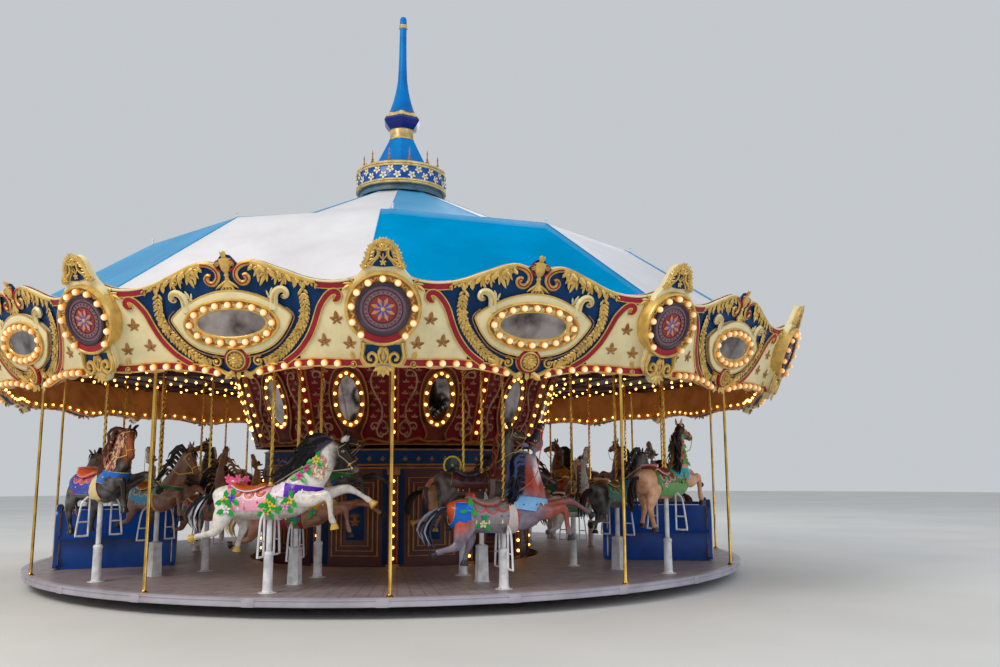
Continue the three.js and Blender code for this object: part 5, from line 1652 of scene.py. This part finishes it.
CLOTHS = ("#1F6FB0", "#8A1F2E", "#2F7A3F", "#C98A1F", "#5A2A8A", "#1F8A8A", "#B03A6A", "#C9502A")
MANES = (("#15110F", "#33281F"), ("#4A2A18", "#7A4A28"), ("#C9B48A", "#E4D6B0"), ("#22242A", "#4A4E58"))


def style_of(name):
    """The painted style of a horse: its own where the picture shows it, else one drawn from the workshop's colours."""
    if name in STYLES:
        return STYLES[name]
    pick = random.Random(name)
    cloths = pick.sample(CLOTHS, 4)
    mane = pick.choice(MANES)
    return dict(coat=pick.choice(COATS), mane=mane, tail=mane[0], saddle=pick.choice(("#8A4A24", "#A8602E",
        "#5A2A1C")), rim=pick.choice(("#D9B45C", "#E0A0A8", "#E8E0D0")), blanket=cloths[0], edge="#D9B45C",
        band=cloths[1], band_edge="#E3D49A", bridle="#C9A24A", hoof=pick.choice(("#2A2220", "#C9A24A", "#8A8480")),
        girth=cloths[2], zones=(), jewels=(cloths[3], "#F0E6D0"), patches=(("flap",
        *pick.choice(((-0.36, -0.12), (-0.2, 0.02), (0.02, 0.14))), -0.34, -0.1, cloths[2], "#D9B45C"),),
        flowers=tuple(((x, z, cloths[3]) for x, z in ((-0.42, -0.14), (0.3, -0.12), (0.08, -0.22)))))


class CAROUSEL_OT_horses(bpy.types.Operator):
    """Thirty carved jumping horses on twisted brass poles, with trappings, manes and foot loops"""
    bl_idname = "carousel.horses"
    bl_label = "Horses"
    rod_foot, rod_top = 0.47, 3.80
    reed_turns, reed_steps, reeds = 6, 30, 5
    fringe = {"stretched": ((0, 0, 0), (-0.22, -0.03, 0.2), (-0.5, -0.06, 0.14), (-0.78, -0.05, -0.04),
        (-1.0, -0.02, -0.1), (-1.22, 0.0, -0.24)), "raised": ((0, 0, 0), (-0.36, -0.1, 0.04), (-0.62, -0.2, -0.2),
        (-0.6, -0.26, -0.52), (-0.72, -0.26, -0.86), (-0.9, -0.22, -1.16)),
        "proud": ((0, 0, 0), (-0.24, -0.14, 0.02), (-0.36, -0.26, -0.26), (-0.24, -0.3, -0.55), (-0.34, -0.28, -0.82),
        (-0.44, -0.24, -1.05))}
    row_drop = (0, 0.10, 0.16, 0.20, 0.20, 0.24)
    tail_low = ((-0.64, -0.08), (-0.74, -0.10), (-0.80, -0.22), (-0.79, -0.38), (-0.75, -0.52))
    tail_high = ((-0.64, -0.08), (-0.76, -0.09), (-0.87, -0.18), (-0.93, -0.33), (-0.88, -0.47))
    foot_loop = ((0.139, -0.25), (0.139, -0.45), (0.139, -0.72), (0.155, -0.746), (0.275, -0.746), (0.291, -0.725),
        (0.262, -0.5), (0.235, -0.36), (0.2, -0.315), (0.16, -0.28))

    def execute(self, context):
        s = sizes()
        self.carvings = {("tucked", "outer"): Carving("tucked", s.outer_grain)}
        for pose in POSES:
            self.carvings[pose, "outer"] = Carving(pose, s.outer_grain)
            self.carvings[pose, "middle"] = self.carvings[pose, "inner"] = Carving(pose, s.inner_grain)
        for index, (row, (radius, scale)) in enumerate(ROWS.items()):
            for bay in RIDE_BAYS:
                phase = (bay + 2 + index) % len(POSES)
                seat = s.deck_top + SEAT_HEIGHT * (0.9 + 0.1 * scale) + CRANK_OFFSETS[phase]
                self.horse(row, bay, phase, scale, place((bay + 0.5) * BAY + RIDE_TURN, radius, seat), seat)
        return {"FINISHED"}

    def horse(self, row, bay, phase, scale, spot, seat):
        name = f"{row}_{bay + 1:02d}"
        self.style = style_of(name)
        self.carving = self.carvings[self.style.get("pose", POSES[phase]), row]
        self.fine = row == "outer"
        self.pick = random.Random("horse " + name)
        self.part = new_part()
        for build in (self.coat, self.hair, self.trappings, self.bridle, self.loops):
            build()
        bmesh.ops.transform(self.part, matrix=Matrix.Scale(scale, 4), verts=self.part.verts)
        offset = CRANK_OFFSETS[phase]
        self.pole(scale, self.rod_foot + offset - seat, self.rod_top + offset - seat)
        bmesh.ops.transform(self.part, matrix=spot, verts=self.part.verts)
        piece(self.part, "jumper_" + name, "jumpers_" + "abc"[phase], HORSE_FINISHES,
            ("horse_" + name,), sharp=50)

    def put(self, shape, finish, matrix=None, colour=None):
        """Stamps a shape on the horse in one of its finishes."""
        copy = mesh_of(shape).copy()
        copy.polygons.foreach_set("material_index", [finish] * len(copy.polygons))
        stamp(self.part, copy, matrix, colour and rgb(colour))
        bpy.data.meshes.remove(copy)

    def put_part(self, part, finish, matrix=None, colour="#FFFFFF"):
        mesh = to_mesh(part)
        self.put(mesh, finish, matrix, colour)
        bpy.data.meshes.remove(mesh)

    def tube(self, run, finish, colour="#FFFFFF", sides=5, closed=False, up=(0, 1, 0)):
        shape = new_part()
        sweep(shape, run, sides, up, closed=closed)
        self.put_part(shape, finish, None, colour)

    def bead(self, spot, size, colour=None, finish=TRIM):
        self.put("bead", finish, at(*spot, 0, size), colour)

    def coat(self):
        """Skin, hooves, ears, eyes and nostrils."""
        carving, style = self.carving, self.style
        skin = carving.skin.copy()
        layer = paint_layer(skin)
        base = Vector(rgb(style["coat"]))
        dark, light = base * 0.55, base.lerp(Vector(WHITE), 0.12)
        muzzle = carving.head(1.0)
        zones = [(Vector(c), r, Vector(rgb(h))) for c, r, h in style["zones"]]
        for i, vert in enumerate(skin.vertices):
            co = vert.co
            tone = base.lerp(light, clipped(0.5 + 1.6 * noise.noise(co * 11)))
            for centre, radii, colour in zones:
                reach = sum(((co[a] - centre[a]) / radii[a]) ** 2 for a in range(3))
                tone = tone.lerp(colour, clipped(1.6 - reach))
            low = clipped((-0.44 - co.z) * 9) + clipped((co.x - 0.68) * 6) * (co.z < 0.05)
            tone = tone.lerp(dark, 0.5 * min(1, low))
            tone = tone.lerp(dark * 0.6, clipped(1.4 - (co - muzzle).length / 0.06) * 0.7)
            layer.data[i].color = (*tone, 1)
        self.put(skin, COAT)
        bpy.data.meshes.remove(skin)
        hoof = ((0.0, 0.034), (0.3, 0.040), (0.75, 0.050), (0.95, 0.052), (1.0, 0.046))
        for key in ("fore_near", "fore_far", "stand" if carving.standing else "kick", "far"):
            top, toe = (Vector(p) for p in HOOVES[key])
            self.tube([(*top.lerp(toe, t), r, r * 0.95) for t, r in hoof], COAT, style["hoof"], 10)
        ear = ((0, 0.014, 0.012), (0.35, 0.026, 0.014), (0.7, 0.018, 0.010), (1, 0.003, 0.003))
        for side in (-1, 1):
            root = carving.head(0.0, side * 0.55, -0.9)
            tip = root - carving.jaw * 0.095 - carving.ahead * 0.02 + Vector((0, side * 0.022, 0))
            self.tube([(*root.lerp(tip, t), wide, deep) for t, wide, deep in ear], COAT, style["coat"], 6)
            self.bead(carving.head(0.27, side * 0.9, -0.38), (0.019, 0.012, 0.015), "#E8E0D0")
            self.bead(carving.head(0.275, side * 1.04, -0.40), (0.011, 0.009, 0.011), "#120C0A")
            self.bead(carving.head(0.93, side * 0.85, -0.35), (0.010, 0.005, 0.008), "#1A0E0C")
            lip = [(*carving.head(t, side * 0.98, 0.35), 0.004, 0.003) for t in (0.84, 0.9, 0.96)]
            self.tube(lip, TRIM, "#5A1E1C", 4)

    def lock(self, points, thick, colour, steps=2):
        """One lock of hair: full near its root, thin and flat at its tip."""
        run = smoothed([tuple(p) for p in points], steps)
        last = len(run) - 1
        self.tube([(*p, thick * (0.4 + 0.75 * sin(pi * min(1, 0.12 + i / last * 0.88)) - 0.36 * i / last),
            thick * 0.5 * (1 - 0.75 * i / last)) for i, p in enumerate(run)], HAIR, colour, 4)

    def hair(self):
        """Mane, forelock and tail, carved in locks."""
        carving, style, pick = self.carving, self.style, self.pick
        neck = smoothed(NECKS[carving.pose], 5 if self.fine else 4)
        plain, bright = style["mane"]
        fringe = self.fringe["proud" if carving.standing else carving.pose]
        drops = self.row_drop if carving.pose == "stretched" else (0,) * len(self.row_drop)
        for row in range(3 if self.fine else 1):
            for i in range(1, len(neck) - 1, 2 if row == 2 or not self.fine else 1):
                up = (xz(neck[i + 1]) - xz(neck[i - 1])).normalized()
                back = Vector((-up.z, 0, up.x)) * neck[i][3]
                root = xz(neck[i]) + back * 0.86 + Vector((0, -0.010 - 0.018 * row, 0))
                spread = (0.24 + 0.12 * i / len(neck)) * pick.uniform(0.75, 1.15) * (1.05 - 0.2 * row)
                points = []
                for j, ((x, y, z), drop) in enumerate(zip(fringe, drops)):
                    stray = min(j, 3)
                    step = (x, y - pick.uniform(0, 0.05) * stray, z - drop * row + pick.uniform(-0.05, 0.05) * stray)
                    points.append(root + Vector(step) * spread)
                tone = bright if pick.random() < 0.22 else plain
                thick = pick.uniform(0.018, 0.030) if self.fine else 0.036
                self.lock(points, thick, tone, 2 if row < 2 and self.fine else 1)
        for side in (-0.4, 0.2, 0.6):
            curve = ((0.02, side, -0.95), (0.14, side, -1.15), (0.26, side * 1.2, -1.05), (0.36, side * 0.8, -1.1))
            self.lock([carving.head(*p) for p in curve], 0.016, plain)
        light = style.get("tail_light", bright)
        line = self.tail_low if carving.standing else self.tail_high
        for i in range(13 if self.fine else 5):
            sway, drop = pick.uniform(-0.05, 0.05), pick.uniform(-0.05, 0.06)
            points = [xz((x - drop * j * 0.25 + pick.uniform(-0.012, 0.012) * j, z + drop * 0.5 * (j > 1)),
                sway * j * 0.45) for j, (x, z) in enumerate(line)]
            thick = pick.uniform(0.020, 0.034) if self.fine else 0.042
            self.lock(points, thick, style["tail"] if i % 3 else light)

    def shell(self, name, planes, colour, edge, push=0.007, thick=0.006, piping=0.006):
        """A cloth or strap lifted off the skin between some planes, with piping along its edges."""
        mesh, edges = self.carving.shell(name, planes, push, thick)
        self.put(mesh, TRIM, None, colour)
        for run in edges:
            self.tube([(*p, piping, piping) for p in run], TRIM, edge, 4 if self.fine else 3, closed=True)

    def trappings(self):
        """Blanket, breast band, painted patches, girth, saddle, swags, jewels and flowers."""
        style = self.style
        self.shell("blanket", (((-0.45, 0, 0), (-1, 0, 0.25)), ((0.03, 0, 0), (1, 0, 0.1)),
            ((0, 0, -0.25), (0, 0, -1))), style["blanket"], style["edge"])
        seam, split = 0.06, "band_back" in style
        front = 0.22 if split else seam
        strap = (((0.3, 0, -0.115), (-0.12, 0, -1)), ((0.3, 0, 0.035), (0.1, 0, 1)))
        self.shell(f"band {front}", (*strap, ((front, 0, 0), (-1, 0, 0))), style["band"], style["band_edge"], 0.010)
        if split:
            self.shell("band back", (*strap, ((seam, 0, 0), (-1, 0, 0)), ((front, 0, 0), (1, 0, 0))),
                style["band_back"], style["band_edge"], 0.01)
        for name, rear, fore, low, high, colour, edge in style.get("patches", ()):
            planes = (((rear, 0, 0), (-1, 0, 0.12)), ((fore, 0, 0), (1, 0, 0.12)), ((0, 0, low), (0, 0, -1)),
                ((0, 0, high), (0, 0, 1)))
            self.shell(f"{name} {rear} {fore}", planes, colour, edge, 0.013, 0.005, 0.005)
        self.scales(style.get("scales", ()))
        self.shell("girth", (((0.075, 0, 0), (-1, 0, 0)), ((0.135, 0, 0), (1, 0, 0))), style["girth"], style["edge"],
            0.005, 0.005, 0.004)
        self.saddle()
        spots = [(x, z) for x in (-0.40, -0.32, -0.24, -0.08, 0.0) for z in (-0.225, -0.165)]
        spots += [(0.12 + 0.075 * i, -0.045) for i in range(5)]
        jewels = style["jewels"]
        for side in (-1, 1) if self.fine else (-1,):
            for i, (x, z) in enumerate(spots if self.fine else spots[::2]):
                spot = self.carving.surface(x, z, side, 0.013)
                if spot:
                    shape, size = ("bead", 0.013) if i % 2 else ("sprig", 0.035)
                    self.put(shape, TRIM, spot @ Matrix.Scale(size, 4), jewels[i % len(jewels)])
            for x, z, colour in style["flowers"]:
                spot = self.carving.surface(x, z, side, 0.012)
                if spot:
                    for turn in (200, 320, 80) if self.fine else (230,):
                        self.put("leaf", TRIM, spot @ at(0, 0, 0, turn, (0.12, 0.12, 0.07)), "#12A23C")
                    self.put("rosette", TRIM, spot @ at(0, 0, 0.006, 0, (0.050, 0.050, 0.055)), colour)
                    self.put("bead", TRIM, spot @ at(0, 0, 0.012, 0, 0.010), "#6A3A12")

    def saddle(self):
        """Saddle with its rim, ribbed swags below it and a rolled or flowered cantle."""
        style = self.style
        seat = smoothed(SADDLE, 2)
        self.tube([(x, 0, z, deep, wide) for x, z, wide, deep in seat], TRIM, style["saddle"], 12)
        edge = [(x, side * wide * 0.98, z - 0.012, 0.008, 0.008) for side,
            points in ((-1, seat), (1, seat[::-1])) for x, z, wide, deep in points]
        self.tube(edge, TRIM, style["rim"], 4, closed=True, up=(0, 0, 1))
        for side in (-1, 1):
            for x, z in ((-0.33, -0.10), (-0.19, -0.12), (-0.06, -0.10)):
                for ring in (0.075, 0.055, 0.035) if self.fine else (0.075, 0.045):
                    hung = [(x + ring * cos(a), z + 0.045 + ring * 0.9 * sin(a))
                        for a in map(radians, range(180, 361, 30))]
                    spots = [self.carving.surface(*p, side, 0.014) for p in hung]
                    arc = [(*spot.translation, 0.010, 0.006) for spot in spots if spot]
                    if len(arc) > 4:
                        self.tube(arc, TRIM, style["rim"] if ring > 0.06 else style["saddle"], 4 if self.fine else 3)
        for side in (-1, 1) if "cantle" in style else ():
            for x, z, size in ((-0.41, 0.05, 0.075), (-0.35, 0.085, 0.05), (-0.455, 0.10, 0.05)):
                facing = Matrix.Translation((x, side * 0.115, z)) @ Matrix.Rotation(side * -pi / 2, 4, "X")
                self.put("rosette", TRIM, facing @ Matrix.Scale(size, 4), style["cantle"])
        if "hoop" in style:
            hoop = (-0.42, 0.0, 0.10)
            ring = [(hoop[0] + 0.12 * cos(a), 0.0, hoop[2] + 0.12 * sin(a), 0.014, 0.02) for a in turns_of(16)]
            self.tube(ring, TRIM, style["hoop"], 6, closed=True)
            self.bead(hoop, (0.11, 0.016, 0.11), "#14201A")
            self.bead(hoop, (0.03, 0.026, 0.04), "#8A9A90")
        roll = [(-0.40, y, 0.075 - 0.9 * y * y, 0.022, 0.022) for y in (-0.12, -0.08, 0, 0.08, 0.12)]
        self.tube(roll, TRIM, style["rim"], 6, up=(0, 0, 1))

    def scales(self, fields):
        """Rows of small overlapping scales on either side of the neck."""
        for x, z, half_width, half_height, tones in fields:
            rows = round(half_height / 0.022)
            for row in range(2 * rows):
                for step in range(-4, 5):
                    across, up = (step + 0.5 * (row % 2)) / 4.5, (row - rows) / rows
                    if across * across + up * up > 1:
                        continue
                    for side in (-1, 1):
                        spot = self.carving.surface(x + across * half_width, z + up * half_height, side, 0.006)
                        if spot:
                            turn_down = spot @ at(0, 0, 0, -90, (0.05, 0.05, 0.06))
                            self.put("leaf", TRIM, turn_down, self.pick.choice(tones))

    def bridle(self):
        """Head straps with rings, and reins back to the saddle."""
        carving, colour = self.carving, self.style["bridle"]
        for t in (0.12, 0.70):
            run = [(*carving.head(t, 1.1 * cos(a), 1.1 * sin(a)), 0.008, 0.006) for a in turns_of(12)]
            self.tube(run, TRIM, colour, 4, closed=True, up=tuple(carving.ahead))
        for side in (-1, 1):
            cheek = ((0.12, 0.0), (0.3, 0.25), (0.5, 0.25), (0.70, 0.2), (0.84, 0.25))
            self.tube([(*carving.head(t, side * 1.12, down), 0.007, 0.005) for t, down in cheek], TRIM, colour, 4)
            for t, down in cheek[3:]:
                self.bead(carving.head(t, side * 1.2, down), (0.015, 0.006, 0.015), None, GOLD)
            bit = carving.head(0.84, side * 1.25, 0.25)
            neck = NECKS[carving.pose][1]
            middle = Vector((neck[0] - 0.02, side * (neck[2] + 0.025), neck[1] + 0.12))
            hand = Vector((0.05, side * 0.05, 0.03))
            slack = bit.lerp(middle, 0.55) - Vector((0, -side * 0.02, 0.05))
            reins = smoothed([tuple(p) for p in (bit, slack, middle, hand)], 3)
            self.tube([(*p, 0.007, 0.004) for p in reins], TRIM, colour, 4)

    def loops(self):
        """Foot loops of bent white tube on either side of the pole, each with a rung."""
        for side in (-1, 1):
            run = [(0, side * y, z, 0.0125, 0.0125) for y, z in smoothed(self.foot_loop, 2)]
            rung = [(0, side * y, -0.58, 0.010, 0.010) for y in (0.139, 0.272)]
            for bent in (run, rung):
                self.tube(bent, STEEL, sides=6, up=(1, 0, 0))

    def pole(self, scale, foot, top):
        """A reeded brass pole above the saddle, a plain white sleeve below."""
        start = -0.03 * scale
        if "reeds" not in SHAPES:
            SHAPES["reeds"] = self.reeded()
        self.put("reeds", BRASS, at(0, 0, start, 0, (1, 1, top - start)), "#FFFFFF")
        sleeve, collar = new_part(), new_part()
        lathe(sleeve, [(0, foot), (0.029, foot), (0.03, foot + 0.01), (0.03, -0.32 * scale), (0.042, -0.315 * scale),
            (0.042, -0.29 * scale), (0.03, -0.28 * scale), (0.03, -0.2 * scale), (0, -0.2 * scale)], 12)
        self.put_part(sleeve, STEEL)
        lathe(collar, [(0.0, 0.0), (0.040, 0.0), (0.042, 0.012), (0.030, 0.022), (0.026, 0.045), (0.0, 0.05)], 12)
        self.put_part(collar, GOLD, Matrix.Translation((0, 0, 0.012 * scale)))

    def reeded(self):
        """A twisted pole one unit tall, with reeds standing round it."""
        ring = new_part()
        points = [(0.0185 if i % 2 == 0 else 0.0225, a) for i, a in enumerate(turns_of(2 * self.reeds))]
        verts = [ring.verts.new((r * cos(a), r * sin(a), 0)) for r, a in points]
        edges = [ring.edges.new(pair) for pair in zip(verts, verts[1:] + verts[:1])]
        bmesh.ops.spin(ring, geom=verts + edges, cent=(0, 0, 0), axis=(0, 0, 1), dvec=(0, 0, 1 / self.reed_steps),
            angle=tau * self.reed_turns, steps=self.reed_steps)
        for end in (0.0, 1.0):
            level = [e for e in ring.edges if all(abs(v.co.z - end) < 1e-4 for v in e.verts)]
            bmesh.ops.contextual_create(ring, geom=level)
        bmesh.ops.recalc_face_normals(ring, faces=ring.faces)
        return to_mesh(ring)


OPERATORS = (CAROUSEL_OT_stage, CAROUSEL_OT_canopy, CAROUSEL_OT_crown, CAROUSEL_OT_spire, CAROUSEL_OT_boards,
    CAROUSEL_OT_shields, CAROUSEL_OT_ceiling, CAROUSEL_OT_drum, CAROUSEL_OT_housing, CAROUSEL_OT_platform,
    CAROUSEL_OT_chariots, CAROUSEL_OT_horses)


class CAROUSEL_PT_panel(bpy.types.Panel):
    """Lists the carousel's operators in the sidebar"""
    bl_idname = "CAROUSEL_PT_panel"
    bl_label = "Carousel"
    bl_space_type = "VIEW_3D"
    bl_region_type = "UI"
    bl_category = "Carousel"

    def draw(self, context):
        for operator in OPERATORS:
            self.layout.operator(operator.bl_idname)


CLASSES = (CarouselSizes, CarouselColours, *OPERATORS, CAROUSEL_PT_panel)


def register():
    for cls in CLASSES:
        bpy.utils.register_class(cls)
    bpy.types.Scene.carousel_sizes = bpy.props.PointerProperty(type=CarouselSizes)
    bpy.types.Scene.carousel_colours = bpy.props.PointerProperty(type=CarouselColours)


def unregister():
    del bpy.types.Scene.carousel_colours
    del bpy.types.Scene.carousel_sizes
    for cls in reversed(CLASSES):
        bpy.utils.unregister_class(cls)


def main():
    register()
    make_finishes()
    make_shapes()
    for operator in OPERATORS:
        group, name = operator.bl_idname.split(".")
        getattr(getattr(bpy.ops, group), name)()


if __name__ == "__main__":
    main()
